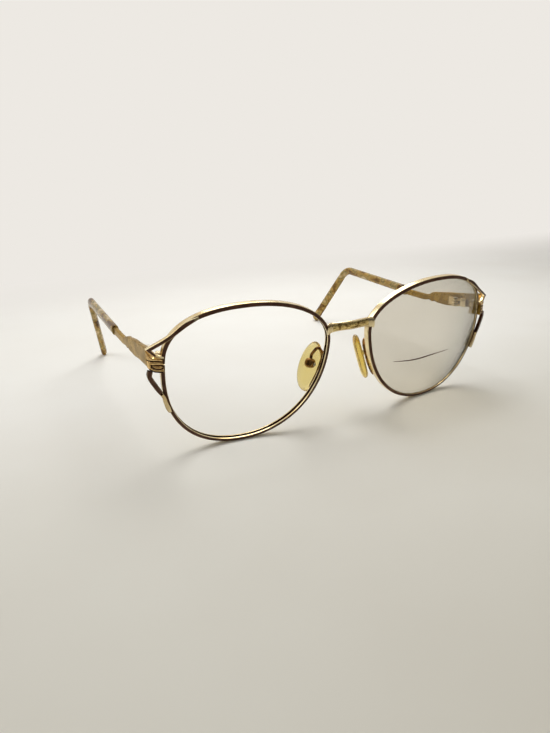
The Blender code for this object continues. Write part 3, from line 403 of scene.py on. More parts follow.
def amber():
    """Aged clear PVC pad: yellowed right through, soft gloss."""
    made, tree, shader = new_material("yellowed_soft_pvc", roughness=0.16, ior=1.43, clear=0.88)
    base_colour(tree, shader, (noise(tree, 5, 2.0), "Fac"), ((0.3, "F6E8B2"), (0.7, "F9EFC6")))
    depth = node(tree, "ShaderNodeVolumeAbsorption", {"Color": (0.97, 0.82, 0.0, 1.0), "Density": 0.14 / MM})
    tree.links.new(depth.outputs["Volume"], tree.nodes["Material Output"].inputs["Volume"])
    return made


def tinted():
    """Grey-brown tinted lens resin, optically polished, with painted shade that makes it a little darker
    towards the temple.
    """
    made, tree, shader = new_material("tinted_lens_resin", roughness=0.0, ior=1.6, clear=1.0)
    place = node(tree, "ShaderNodeTexCoord")
    axes = node(tree, "ShaderNodeSeparateXYZ", None, Vector=(place, "Object"))
    temple_shade = node(tree, "ShaderNodeMapRange", {"interpolation_type": "SMOOTHSTEP", "From Min": 36 * MM,
                                             "From Max": 66 * MM}, Value=(axes, "X"))
    base_colour(tree, shader, (temple_shade, "Result"), ((0.0, "DCD7CC"), (1.0, "BFBCB4")))
    passing = node(tree, "ShaderNodeBsdfTransparent", {"Color": linear("D6D2C8")})
    path = node(tree, "ShaderNodeLightPath")
    mixed = node(tree, "ShaderNodeMixShader", None, Fac=(path, "Is Shadow Ray"), i1=(shader, "BSDF"),
                 i2=(passing, "BSDF"))
    tree.links.new(mixed.outputs["Shader"], tree.nodes["Material Output"].inputs["Surface"])
    return made


def ground():
    """The lens's edge as the grinding wheel left it, matt, and painted dark smoky grey as shade on the thick
    edge.
    """
    made, tree, shader = new_material("ground_lens_edge_painted_shade", roughness=0.7)
    base_colour(tree, shader, (noise(tree, 0.3, 2.0), "Fac"), ((0.3, "56534B"), (0.7, "706D63")))
    return made


ENAMEL, MARBLED, AMBER, TINTED, GROUND = enamel(), marbled(), amber(), tinted(), ground()


def dress(obj, material, body, slot, *nodes, angle=40):
    """Paints the piece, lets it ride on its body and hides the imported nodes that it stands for."""
    smooth(obj, angle)
    obj.data.materials.clear()
    obj.data.materials.append(material)
    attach(obj, body)
    if nodes:
        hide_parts(*nodes)
    return obj


def both(build, material, slot, word, unit=None, replaced=True, angle=40):
    """Builds the wearer's left piece and its mirrored twin, on the front or on each side's own unit."""
    left = build("left_" + word)
    pair = left, mirrored(left, "right_" + word)
    for obj, side in zip(pair, ("left_", "right_")):
        body = side + unit if unit else "front"
        dress(obj, material, body, slot, *([side + word] if replaced else []), angle=angle)
    return pair


def repaint(obj, material, chosen):
    """Gives the faces that the test picks a second material."""
    obj.data.materials.append(material)
    for face in obj.data.polygons:
        if chosen(face):
            face.material_index = 1


# Eyewires

RIM_STATIONS = 260
# The rim section's corners, and those between which the lens groove lies
RIM_CORNERS, GROOVE_CORNERS = 24, range(16, 20)


def rim_angles():
    """The rim's stations, from one side of its slit to the other."""
    start = angle_at(BLOCK_LEVEL)
    half_slit = SLIT / 2 / (outline_point(start) + MIDDLE).length
    around = 2 * math.pi - 2 * half_slit
    return [start + half_slit + around * k / RIM_STATIONS for k in range(RIM_STATIONS + 1)]


def rim_sweep(name, section):
    rings = []
    for angle in rim_angles():
        ring = []
        for offset, depth in section:
            p = outline_point(angle, offset)
            ring.append(on_front(p.x, p.y, depth))
        rings.append(ring)
    return swept(name, rings)


def eyewire(name):
    """Eyewire with a channel for the enamel in its front and the lens groove inside."""
    w, d, m = RIM_WIDTH - 0.01, RIM_DEPTH, RIM_DEPTH / 2
    channel = [(0.09, 0.0), (0.11, 0.09), (w - 0.15, 0.09), (w - 0.13, 0.0)]
    outside = [(w - 0.09, 0.01), (w - 0.03, 0.06), (w, 0.16), (w, 0.6), (w, m), (w, d - 0.6), (w, d - 0.18)]
    behind = [(w - 0.05, d - 0.06), (w - 0.15, d), (0.14, d), (0.04, d - 0.05), (0.0, d - 0.14)]
    groove = [(0.0, m + 0.62), (0.4, m + 0.42), (0.52, m), (0.4, m - 0.42), (0.0, m - 0.62)]
    return rim_sweep(name, channel + outside + behind + groove + [(0.0, 0.1), (0.02, 0.04), (0.06, 0.0)])


def rim_enamel(name):
    """Domed enamel strip laid in the front channel."""
    low, high = 0.13, RIM_WIDTH - 0.17
    section = [(low, 0.07), (low, 0.0), (low + 0.1, -0.035), (low + 0.25, -0.055), ((low + high) / 2, -0.06),
               (high - 0.25, -0.055), (high - 0.1, -0.035), (high, 0.0), (high, 0.07)]
    return rim_sweep(name, section)


for rim in both(eyewire, GILT, "polished_gilt", "eyewire", angle=32):
    # The lens groove's faces get the dark brown: painted shade in the groove
    repaint(rim, SHADED, lambda face: len(face.vertices) == 4 and face.index % RIM_CORNERS in GROOVE_CORNERS)
both(rim_enamel, ENAMEL, "polished_gilt", "rim_enamel", replaced=False)


# Bridge

def other_side(stations):
    """The same stations in the other order, on the other side of the nose."""
    return [(-x, *rest) for x, *rest in reversed(stations)]


def bridge():
    """Saddle bar with flared claws that lap over the front of both rims."""
    angle = angle_at(BRIDGE_LEVEL, nasal=True)
    stations = []
    for offset, thickness, height, drop in (
        (RIM_WIDTH - CLAW_LAP, CLAW_PROUD * 0.55, BRIDGE_END_HEIGHT * 0.72, 0.0),
        (RIM_WIDTH - CLAW_LAP * 0.85, CLAW_PROUD * 0.85, BRIDGE_END_HEIGHT * 0.9, 0.0),
        (RIM_WIDTH * 0.6, CLAW_PROUD, BRIDGE_END_HEIGHT, 0.0),
        (RIM_WIDTH + 0.3, BRIDGE_THICKNESS, BRIDGE_END_HEIGHT, 0.4),
        (RIM_WIDTH + 1.4, BRIDGE_THICKNESS, BRIDGE_HEIGHT + 0.3, 1.0),
    ):
        p = outline_point(angle, offset)
        spot = on_front(p.x, p.y, thickness / 2 - CLAW_PROUD)
        stations.append((spot.x, spot.y, spot.z - BRIDGE_DROP * drop, thickness, height))
    root = Vector(stations[-1][:3])
    crown = Vector((0.0, BRIDGE_FORWARD + BRIDGE_THICKNESS / 2, root.z + BRIDGE_RISE))
    shoulder = root.lerp(crown, 0.4)
    arched = shoulder.z + BRIDGE_RISE * 0.2
    half = stations[3:] + [(shoulder.x, shoulder.y, arched, BRIDGE_THICKNESS, BRIDGE_HEIGHT)]
    bar = smooth_route(half + [(*crown, BRIDGE_THICKNESS, BRIDGE_HEIGHT)] + other_side(half), 9)
    rings = []
    for x, y, z, thickness, height in stations[:3] + bar + other_side(stations[:3]):
        rings.append([Vector((x, y + a, z + b)) for a, b in soft_section(thickness, height, 32, 2.3)])
    return swept("bridge_bar", rings)


def in_reflection_band(face):
    return face.normal.y < -0.5 and -0.4 < face.normal.z < 0.5 and abs(face.center.x) < 7.2 * MM


# The bridge's front band gets the mottled gilt: a painted reflection, dark with bright glints
repaint(dress(bridge(), GILT, "front", "polished_gilt", "bridge"), BRIDGE_DARK_REFLECTION, in_reflection_band)


# Endpieces

def end_stations():
    """(point, direction, thickness, rise, drop) from the rim's front, round the corner, to the seam."""
    angle = angle_at(BLOCK_LEVEL)
    half = BLOCK_HEIGHT / 2
    rows = []
    for past_rim, thickness in ((-BLOCK_LAP, BLOCK_PROUD * 0.8), (-BLOCK_LAP + 0.12, BLOCK_PROUD * 0.95),
                                (-0.2, BLOCK_PROUD), (-0.02, BLOCK_PROUD), (0.02, BLOCK_THICKNESS),
                                (0.17, BLOCK_THICKNESS), (0.34, BLOCK_THICKNESS), (0.5, BLOCK_THICKNESS)):
        p = outline_point(angle, RIM_WIDTH + past_rim)
        inset = 0.2 if not rows else 0.05 if len(rows) == 1 else 0.0
        rows.append([on_front(p.x, p.y, -BLOCK_PROUD), thickness, half - inset, half - inset])
    start, root = rows[0][0], rows[-1][0]
    lead = (root - start).normalized()
    for row in rows:
        row.insert(1, lead)
    knee = root + lead * ((ARM_HALF_SPAN - root.x) / lead.x)
    after = Vector((ARM_HALF_SPAN, knee.y + CORNER_LENGTH, knee.z))
    top_after, low_after = ARM_TOP_FRONT - after.z, after.z - ARM_BOTTOM_FRONT
    corner_steps, arm_steps = 34, 24
    for k in range(1, corner_steps + 1):
        t = k / corner_steps
        point = root * (1 - t) ** 2 + knee * 2 * t * (1 - t) + after * t * t
        along = ((knee - root) * (1 - t) + (after - knee) * t).normalized()
        rise = max(0.0, (t - 0.3) / 0.7) ** 1.5
        thickness = BLOCK_THICKNESS + (ARM_THICKNESS - BLOCK_THICKNESS) * t
        rows.append([point, along, thickness, half + (top_after - half) * rise,
                     half + (low_after - half) * rise])
    for k in range(1, arm_steps + 1):
        t = k / arm_steps
        point = Vector((ARM_HALF_SPAN, after.y + (SEAM_Y - RUNNING_GAP / 2 - after.y) * t, after.z))
        rows.append([point, Vector((0, 1, 0)), ARM_THICKNESS, top_after + (ARM_TOP_SEAM - ARM_TOP_FRONT) * t,
                     low_after + (ARM_BOTTOM_FRONT - ARM_BOTTOM_SEAM) * t])
    return rows


# Furrows engraved in the block's front and on the corner, as (u, v) on the front
FURROW_BREADTH = 0.28
FURROWS = (
    ((32.6, 8.55), (31.5, 8.72), (29.8, 8.88), (28.5, 8.75), (27.4, 9.15)),
    ((31.6, 7.35), (30.6, 7.55), (29.6, 7.66), (28.55, 7.62), (28.15, 6.98), (29.2, 6.35), (30.9, 6.45),
     (31.6, 6.9)),
    ((32.2, 5.75), (30.4, 5.45), (28.6, 5.5)),
)
FACE_ORIGIN, FACE_U, FACE_V = (on_front(0, 0), lay_on_face(1e-3, 0, 0, 0) - lay_on_face(0, 0, 0, 0),
                               lay_on_face(0, 1e-3, 0, 0) - lay_on_face(0, 0, 0, 0))


def furrow_depth(point):
    """1 in the middle of an engraved furrow, falling to 0 beside it."""
    away = point - FACE_ORIGIN
    here = Vector((away.dot(FACE_U.normalized()), away.dot(FACE_V.normalized())))
    nearest = 9.0
    for furrow in FURROWS:
        for a, b in zip(furrow, furrow[1:]):
            a, b = Vector(a), Vector(b)
            t = max(0.0, min(1.0, (here - a).dot(b - a) / (b - a).length_squared))
            nearest = min(nearest, (here - a.lerp(b, t)).length)
    return math.exp(-(nearest / FURROW_BREADTH) ** 2)


def endpiece(name):
    """Engraved block on the rim's front, turned round the corner into the side arm."""
    rings, up, edge, count = [], Vector((0, 0, 1)), 0.3, 40
    for point, along, thickness, top, low in end_stations():
        back = along.cross(up).normalized() * -1
        ring = [point + back * thickness - up * (low - edge / 2),
                point + back * (thickness - 0.12) - up * (low - edge / 4)]
        for share, depth in ((0.1, 0.72), (0.35, 0.3), (0.7, 0.08)):
            ring.append(point + back * edge * depth - up * (low - edge * share * 0.9))
        ring.insert(2, point + back * edge - up * low)
        for k in range(count + 1):
            level = -low + edge + (top + low - 2 * edge) * k / count
            spot = point + up * level
            ring.append(spot + back * REED_DEPTH * furrow_depth(spot))
        for share, depth in ((0.7, 0.08), (0.35, 0.3), (0.1, 0.72)):
            ring.append(point + back * edge * depth + up * (top - edge * share * 0.9))
        ring.append(point + back * edge + up * top)
        ring.append(point + back * (thickness - 0.12) + up * (top - edge / 4))
        ring.append(point + back * thickness + up * (top - edge / 2))
        rings.append(ring)
    return swept(name, rings)


def shade_furrows(obj, side):
    """Gives the block's face the engraved gilt and paints shade into the bottoms of the furrows."""
    obj.data.materials.append(SHADED)
    obj.data.materials.append(ENGRAVED)
    for face in obj.data.polygons:
        middle = face.center / MM
        middle = Vector((middle.x * side, middle.y + BACK_SHIFT, middle.z))
        if len(face.vertices) == 4 and face.normal.y < -0.2:
            face.material_index = 1 if furrow_depth(middle) > 0.5 else 2


# The ends wear the gilt darkened as painted shade
for end, side in zip(both(endpiece, SHADE_DARKENED_GILT, "polished_gilt", "endpiece", angle=34), (1, -1)):
    shade_furrows(end, side)


# Struts

def strip_rings(route, section_of):
    """Stations of a bar laid on the front, along (u, v, depth, width, thickness), mitred at its corners."""
    rings = []
    for i, (u, v, depth, width, thickness) in enumerate(route):
        here = Vector((u, v))
        before = here - Vector(route[i - 1][:2]) if i else None
        after = Vector(route[i + 1][:2]) - here if i + 1 < len(route) else None
        if before is None or after is None:
            direction, mitre = (after or before).normalized(), 1.0
        else:
            before, after = before.normalized(), after.normalized()
            direction = (before + after).normalized()
            mitre = 1 / max(0.6, direction.dot(after))
        across = Vector((direction.y, -direction.x)) * mitre
        ring = []
        for a, b in section_of(width, thickness):
            spot = here + across * a
            ring.append(on_front(spot.x, spot.y, depth + b))
        rings.append(ring)
    return rings


def channelled(width, thickness):
    """Bar section with the shallow enamel channel in its front."""
    a, b = width / 2, thickness / 2
    outer = round_corners([(a, -b), (a, b), (-a, b), (-a, -b)], 0.2)
    lip = a - 0.09
    return outer[2:] + [(-lip, -b), (-lip + 0.03, -b + 0.09), (lip - 0.03, -b + 0.09), (lip, -b)] + outer[:2]


def inlay(width, thickness):
    """Enamel that fills the channel, with a low dome."""
    lip, b = width / 2 - 0.13, thickness / 2
    crown = [(lip * math.cos(math.pi * k / 6), -b - 0.045 * math.sin(math.pi * k / 6)) for k in range(7)]
    return crown + [(-lip, -b + 0.07), (lip, -b + 0.07)]


STRUT_DEPTH = STRUT_THICKNESS / 2 - STRUT_PROUD


def bar_of(share):
    """Depth, width and thickness of a strut that is this share of the full width."""
    return STRUT_DEPTH, STRUT_WIDTH * share, STRUT_THICKNESS


FULL_BAR = bar_of(1.0)


def upper_route():
    """From the brow out to the corner, and from there home to the rim."""
    begin = outline_point(angle_at(STRUT_START_V), RIM_WIDTH / 2)
    corner, leave = Vector(STRUT_CORNER), Vector(STRUT_LEAVE)
    second = outline_point(angle_at(18.8), RIM_WIDTH * 0.62)
    emerging = (START_THICKNESS / 2 - START_PROUD, STRUT_WIDTH * 0.7, START_THICKNESS)
    middling = (emerging[0] * 0.5 + STRUT_DEPTH * 0.5, STRUT_WIDTH * 1.25,
                (START_THICKNESS + STRUT_THICKNESS) / 2)
    route = [(*begin, *emerging), (*second, *middling), (*leave, *FULL_BAR)]
    out = smooth_route(route + [(*corner, *FULL_BAR)], 12)
    seat = outline_point(angle_at(BLOCK_LEVEL + BLOCK_HEIGHT / 2 + RETURN_HEIGHT), RIM_WIDTH * 0.6)
    bow = corner.lerp(seat, 0.45) + Vector((0.0, -RETURN_SAG))
    home = smooth_route([(*corner, *FULL_BAR), (*bow, *bar_of(0.75)), (*seat, *bar_of(0.6))], 10)[1:]
    return out, home


def lower_route():
    """From under the block, out round the bulge, and down along the rim as the tail."""
    top_v = BLOCK_LEVEL - BLOCK_HEIGHT / 2 + STRUT_WIDTH / 3
    stout = bar_of(1.35)
    route = [(LOWER_BULGE[0] - 0.2, top_v, *stout), (*LOWER_BULGE, *stout), (*LOWER_KNEE, *stout)]
    tail = []
    for k in range(5):
        t = k / 4
        angle = angle_at(TAIL_START_V + (TAIL_END_V - TAIL_START_V) * t)
        p = outline_point(angle, RIM_WIDTH * (1.1 - 0.2 * t))
        width = STRUT_WIDTH + (TAIL_WIDTH - STRUT_WIDTH) * min(1.0, t * 1.4)
        tail.append((p.x, p.y, STRUT_DEPTH, width * (1.0 if k < 4 else 0.7), STRUT_THICKNESS))
    return smooth_route(route + tail, 9)


def upper_strut(name):
    out, home = upper_route()
    return swept(name, strip_rings(out + home, channelled))


def upper_enamel(name):
    out, home = upper_route()
    first, last = 4, len(out) + 10
    return swept(name, strip_rings(out + home, inlay)[first:last])


def lower_strut(name):
    return swept(name, strip_rings(lower_route(), channelled))


def lower_enamel(name):
    last = 23
    return swept(name, strip_rings(lower_route()[:last], inlay))


both(upper_strut, GILT, "polished_gilt", "upper_strut")
both(upper_enamel, ENAMEL, "polished_gilt", "upper_enamel", replaced=False)
for strut in both(lower_strut, GILT, "polished_gilt", "lower_strut"):
    # Painted shade: the sides are dark down to the gilt tail
    levels = [face.center.z for face in strut.data.polygons]
    tail_top = min(levels) * 0.56 + max(levels) * 0.44
    repaint(strut, SHADED, lambda face: face.normal.y > -0.6 and face.center.z > tail_top)
both(lower_enamel, ENAMEL, "polished_gilt", "lower_enamel", replaced=False)


# Temples

# Where the paddle's lower edge is scalloped, behind its shoulder
SCALLOPS = (SHOULDER_Y + SCALLOP_LENGTH / 2, SHOULDER_Y + SCALLOP_LENGTH * 1.5 + 0.8)


def temple_rows():
    """(x, y, top, bottom) of the temple from the seam to the sleeve."""
    straight = SEAM_Y + KNUCKLE_RADIUS + LEAF_LENGTH + 1.5
    slope = (BEND_HALF_SPAN - ARM_HALF_SPAN + ARM_THICKNESS / 2) / (BEND_Y - straight)

    def bar(y):
        level = NECK_LEVEL + (SLEEVE_START_LEVEL - NECK_LEVEL) * (y - NECK_Y) / (SLEEVE_START_Y - NECK_Y)
        return level + BAR_HEIGHT / 2, level - BAR_HEIGHT / 2

    low = ARM_BOTTOM_SEAM - 0.8
    shoulder = low + SHOULDER_HEIGHT
    fall = shoulder - bar(NECK_Y)[0]
    first, second = SCALLOPS
    rows = [
        (SEAM_Y + RUNNING_GAP / 2, ARM_TOP_SEAM, ARM_BOTTOM_SEAM),
        (straight, (ARM_TOP_SEAM + shoulder) / 2 + 0.2, low),
        (SHOULDER_Y - 1.2, shoulder + 0.1, low),
        (SHOULDER_Y, shoulder, low),
        (first, shoulder - fall * 0.08, low + SCALLOP_DEPTH),
        (first + SCALLOP_LENGTH / 2, shoulder - fall * 0.25, low + 0.05),
        (second - SCALLOP_LENGTH / 2, shoulder - fall * 0.4, low + 0.1),
        (second, shoulder - fall * 0.8, low + SCALLOP_DEPTH + 0.1),
        (second + SCALLOP_LENGTH / 2, bar(NECK_Y)[0] + 0.1, low + 0.25),
    ]
    for y in (NECK_Y, (NECK_Y + SLEEVE_START_Y) / 2, SLEEVE_START_Y - 0.4):
        rows.append((y, *bar(y)))
    centre = ARM_HALF_SPAN - ARM_THICKNESS / 2
    return [(centre + max(0.0, y - straight) * slope, y, top, bottom) for y, top, bottom in rows]


TIP_END_LEVEL = 1.6


def centre_line(past_bend, along_steps, bend_steps, tip_steps):
    """Points and directions through the sleeve: straight back, round the bend and down to the table."""
    x, y, top, bottom = temple_rows()[-1]
    start = Vector((x, y, (top + bottom) / 2))
    bend, end = Vector((BEND_HALF_SPAN, BEND_Y, BEND_LEVEL)), Vector((TIP_HALF_SPAN, TIP_Y, TIP_END_LEVEL))
    first, second = (bend - start).normalized(), (end - bend).normalized()
    turn = math.acos(max(-1.0, min(1.0, first.dot(second))))
    cutback = BEND_RADIUS * math.tan(turn / 2)
    enter, leave = bend - first * cutback, bend + second * cutback
    inward = (second - first * first.dot(second)).normalized()
    centre = enter + inward * BEND_RADIUS
    points = [(start.lerp(enter, k / along_steps), first) for k in range(along_steps)]
    for k in range(bend_steps + 1):
        angle = turn * k / bend_steps
        spot = centre - inward * BEND_RADIUS * math.cos(angle) + first * BEND_RADIUS * math.sin(angle)
        points.append((spot, (first * math.cos(angle) + inward * math.sin(angle)).normalized()))
    second = (end - leave).normalized()
    length = min(past_bend, (end - leave).length)
    points += [(leave + second * length * k / tip_steps, second) for k in range(1, tip_steps + 1)]
    return points


def frame_at(direction):
    """The sideways and upward directions of a sleeve or wire that runs this way."""
    sideways = direction.cross(Vector((0, 0, 1))).normalized()
    return sideways, sideways.cross(direction).normalized()


def sleeve_rings():
    along, bend, tip, sides, power = 14, 18, 18, 28, 2.4
    points = centre_line(999.0, along, bend, tip)
    rings, snug = [], 0.99
    for i, (point, direction) in enumerate(points):
        t = max(0.0, (i - along - bend) / tip)
        height = (SLEEVE_HEIGHT + (TIP_WIDTH - SLEEVE_HEIGHT) * t) * snug
        thickness = (SLEEVE_THICKNESS + (TIP_THICKNESS - SLEEVE_THICKNESS) * t) * snug
        sideways, upright = frame_at(direction)
        if i == 0:
            for ahead, share in ((0.5, 0.78), (0.52, 0.9), (0.62, 0.97)):
                section = soft_section(thickness * share, height * share, sides, power)
                rings.append([point + direction * ahead + sideways * a + upright * b for a, b in section])
            point = point + direction * 0.95
        section = soft_section(thickness, height, sides, power)
        rings.append([point + sideways * a + upright * b for a, b in section])
    end, direction = points[-1]
    sideways, upright = frame_at(direction)
    for k in range(1, 8):
        swing = math.pi / 2 * k / 7.4
        size = snug * math.cos(swing)
        section = soft_section(TIP_THICKNESS * size, TIP_WIDTH * size, sides, power)
        past = end + direction * 1.85 * math.sin(swing)
        rings.append([past + sideways * a + upright * b for a, b in section])
    return rings


# The tip's level is settled by steps, so that the sleeve rests on the table
for _ in range(3):
    TIP_END_LEVEL -= min(v.z for ring in sleeve_rings() for v in ring)


def sleeve(name):
    return swept(name, sleeve_rings())


def temple(name):
    """Scalloped paddle and slender bar in one piece with the flat core wire."""
    def flat_section(thickness, bottom, top, radius):
        half = thickness / 2
        return round_corners([(-half, bottom), (half, bottom), (half, top), (-half, top)], radius, 4)

    rings = []
    for x, y, top, bottom in smooth_route(temple_rows(), 7):
        rings.append([Vector((x + a, y, b)) for a, b in flat_section(ARM_THICKNESS, bottom, top, 0.42)])
    core = centre_line(CORE_PAST_BEND, 10, 12, 6)
    section = flat_section(CORE_THICKNESS, -CORE_WIDTH / 2, CORE_WIDTH / 2, 0.2)
    for point, direction in [(core[0][0] + Vector((0, 0.4, 0)), core[0][1])] + core[1:]:
        sideways, upright = frame_at(direction)
        rings.append([point - sideways * a + upright * b for a, b in section])
    return swept(name, rings)


def in_scallop_shade(face):
    spot = face.center.y / MM + BACK_SHIFT
    return min(abs(spot - y) for y in SCALLOPS) < 0.9 and face.center.z / MM < ARM_BOTTOM_SEAM + 0.7


# The temples wear the gilt darkened as painted shade
for arm in both(temple, SHADE_DARKENED_GILT, "polished_gilt", "temple", "temple_unit", angle=30):
    # Painted shade in the scallops of the paddle's lower edge
    repaint(arm, SHADED, in_scallop_shade)
both(sleeve, MARBLED, "marbled_acetate", "temple_sleeve", "temple_unit")


# Nose pads

def pad_frame():
    """The pad's centre, and its long, wide and noseward directions."""
    lean, splay = math.radians(PAD_FRONTAL_ANGLE), math.radians(PAD_SPLAY_ANGLE)
    long = Vector((-math.sin(lean), 0, math.cos(lean)))
    wide = Vector((math.sin(splay), math.cos(splay), 0))
    wide = (wide - long * wide.dot(long)).normalized()
    return Vector(PAD_CENTRE), long, wide, long.cross(wide).normalized()


def box_centre():
    centre, long, wide, nose = pad_frame()
    behind = PAD_THICKNESS / 2 + BOX_STANDOFF + BOX_DEPTH / 2
    return centre + long * BOX_ABOVE_CENTRE - wide * BOX_FORWARD - nose * behind


def nose_pad(name):
    """Egg-shaped crowned pad."""
    centre, long, wide, nose = pad_frame()
    levels = [(-0.5, 0.3), (-0.5, 0.6), (-0.49, 0.76), (-0.45, 0.84), (-0.36, 0.92), (-0.23, 0.975),
              (-0.08, 1.0), (0.07, 0.985), (0.2, 0.945), (0.32, 0.86), (0.41, 0.74), (0.46, 0.6), (0.49, 0.4),
              (0.5, 0.18)]
    rings = []
    for level, share in levels:
        ring = []
        for k in range(56):
            angle = 2 * math.pi * k / 56
            c, s = math.cos(angle), math.sin(angle)
            width = PAD_WIDTH / 2 * (1 - 0.1 * s)
            ring.append(centre + nose * level * PAD_THICKNESS + long * s * PAD_LENGTH / 2 * share
                        + wide * c * width * share)
        rings.append(ring)
    return swept(name, rings)


def pad_boss(name):
    """Turned stud on the pad's back, which the box holds."""
    centre, _, _, nose = pad_frame()
    back = -PAD_THICKNESS / 2 - (box_centre() - centre).dot(nose)
    r = PAD_BOSS_RADIUS
    profile = [(r * 0.8, -0.6), (r, -0.48), (r, back - 0.25), (r * 1.3, back - 0.1), (r * 1.3, back + 0.02)]
    return turned(name, box_centre(), nose, profile, 24)


both(nose_pad, AMBER, "amber_pad", "nose_pad", "pad_unit", angle=60)
both(pad_boss, AMBER, "amber_pad", "pad_boss", "pad_unit", replaced=False)


def pad_arm(name):
    """Bent wire that climbs behind the rim, loops over and comes down to the box."""
    _, long, _, nose = pad_frame()
    climb = []
    for share, behind in ((1.0, 0.5), (0.88, 0.95), (0.5, 1.0), (0.0, 1.1)):
        p = outline_point(angle_at(ARM_FOOT_V * share, nasal=True), RIM_WIDTH * 0.6 + ARM_SETOFF)
        climb.append(on_front(p.x, p.y, RIM_DEPTH + ARM_BEHIND * behind))
    lid = box_centre() - nose * 0.2 + long * (BOX_LENGTH / 2 + SOLDER_GAP)
    crest = Vector(((lid.x + climb[-1].x) / 2 - ARM_LOOP_LEAN, (lid.y + climb[-1].y) / 2, ARM_LOOP_LEVEL))
    near = Vector((climb[-1].x - ARM_LOOP_LEAN * 0.6, climb[-1].y + ARM_LOOP_LEAN / 2,
                   ARM_LOOP_LEVEL - ARM_DROP))
    route = [Vector(p) for p in smooth_route(climb + [near, crest, lid + long * ARM_DROP, lid], 10)]
    rings, hint = [], Vector((0.3, 1, 0)).normalized()
    for i, point in enumerate(route):
        along = (route[min(i + 1, len(route) - 1)] - route[max(i - 1, 0)]).normalized()
        if i == len(route) - 1:
            along = -long
        hint = (hint - along * hint.dot(along)).normalized()
        rings.append(hoop(point, hint, along.cross(hint), ARM_WIRE_RADIUS, 18))
    return swept(name, rings)


# The box's points round its walls, and the row of faces at which its lip and inside begin
BOX_SIDES, BOX_LIP_ROW = 32, 7


def pad_box(name):
    """Round-cornered open box that the pad's stud is screwed into."""
    _, long, wide, nose = pad_frame()
    floor, rings = box_centre() - nose * 0.2, []
    outside = ((-1.0, 0.3), (-0.99, 0.55), (-0.93, 0.75), (-0.8, 0.9), (-0.55, 0.98), (-0.2, 1.0), (0.9, 1.0),
               (1.0, 0.96))
    inside = ((1.0, 1.0), (-0.6, 1.0), (-0.6, 0.3))
    for walls, levels in ((0.0, outside), (1.2, inside)):
        for level, share in levels:
            section = soft_section((BOX_WIDTH - walls) * share, (BOX_LENGTH - walls) * share, BOX_SIDES, 2.8)
            rings.append([floor + nose * level * BOX_DEPTH / 2 + wide * a + long * b for a, b in section])
    return swept(name, rings)


# The pad arms wear the dark brown wire gilt; the boxes' lips and insides get it as painted shade
both(pad_arm, DARK_WIRE_AND_BOX_SHADE, "polished_gilt", "pad_arm")
for box in both(pad_box, BOXED, "polished_gilt", "pad_box"):
    repaint(box, DARK_WIRE_AND_BOX_SHADE, lambda face: len(face.vertices) > 4 or face.index // BOX_SIDES >= BOX_LIP_ROW)


# Lens

# The lens's points round its edge, and the rows of faces that the grinding leaves matt and that are painted
# dark as shade
LENS_SPOKES, GROUND_ROWS = 160, range(12, 16)


def lens(name):
    """Minus meniscus whose bevelled edge sits in the eyewire's groove."""
    edge, middle = -LENS_CLEARANCE, RIM_DEPTH / 2
    hollow = 1 / LENS_BACK_RADIUS - 1 / BASE_RADIUS
    spokes = [2 * math.pi * k / LENS_SPOKES for k in range(LENS_SPOKES)]
    front, back = [], []
    for share in (0.02, 0.1, 0.2, 0.3, 0.4, 0.5, 0.6, 0.7, 0.8, 0.88, 0.94, 0.98, 1.0):
        ring_front, ring_back = [], []
        for angle in spokes:
            p = outline_point(angle, edge) * share
            thickness = LENS_CENTRE_THICKNESS + p.length_squared / 2 * hollow
            ring_front.append(on_front(p.x, p.y, LENS_SEAT))
            ring_back.append(on_front(p.x, p.y, LENS_SEAT + thickness))
        front.append(ring_front)
        back.append(ring_back)
    bevel = []
    for offset, depth in ((edge, middle - 0.3), (LENS_BEVEL, middle), (edge, middle + 0.3)):
        points = [outline_point(angle, offset) for angle in spokes]
        bevel.append([on_front(p.x, p.y, depth) for p in points])
    return swept(name, front + bevel + back[::-1])


def segment_ledge(name):
    """The reading segment's fine step on the lens's front, fading at both ends."""
    route = smooth_route(SEGMENT_EDGE, 12)
    rings = []
    for i, (u, v) in enumerate(route):
        t = i / (len(route) - 1)
        half = 0.03 + 0.26 * math.sin(math.pi * t) ** 0.7
        section = ((-half, -0.01), (half, -0.01), (half, -0.05), (0, -0.07), (-half, -0.05))
        rings.append([on_front(u, v + a, LENS_SEAT + b) for a, b in section])
    return swept(name, rings)


resin = dress(lens("lens_resin"), TINTED, "front", "tinted_lens", "left_lens", angle=25)
# The edge rows get the matt edge material, painted dark grey as shade
repaint(resin, GROUND, lambda face: len(face.vertices) == 4 and face.index // LENS_SPOKES in GROUND_ROWS)
# The ledge wears the dark brown enamel: a painted shade line along the step's edge
dress(segment_ledge("lens_segment_ledge"), ENAMEL, "front", "tinted_lens")


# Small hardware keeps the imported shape, with its edges softened

def softened(name, radius):
    """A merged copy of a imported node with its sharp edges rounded."""
    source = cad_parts[name]
    copy = source.copy()
    copy.data = source.data.copy()
    copy.parent = None
    copy.matrix_world = Matrix.Identity(4)
    copy.name = copy.data.name = name + "_worked"
    bpy.context.scene.collection.objects.link(copy)
    take(copy)
    bpy.ops.object.mode_set(mode="EDIT")
    bpy.ops.mesh.select_all(action="SELECT")
    bpy.ops.mesh.remove_doubles(threshold=1e-6)
    bpy.ops.mesh.dissolve_limited(angle_limit=math.radians(2))
    bpy.ops.mesh.select_all(action="DESELECT")
    bpy.ops.object.mode_set(mode="OBJECT")
    finish_modifier(copy, "BEVEL", width=radius * MM, segments=2, limit_method="ANGLE",
                    angle_limit=math.radians(40))
    return copy


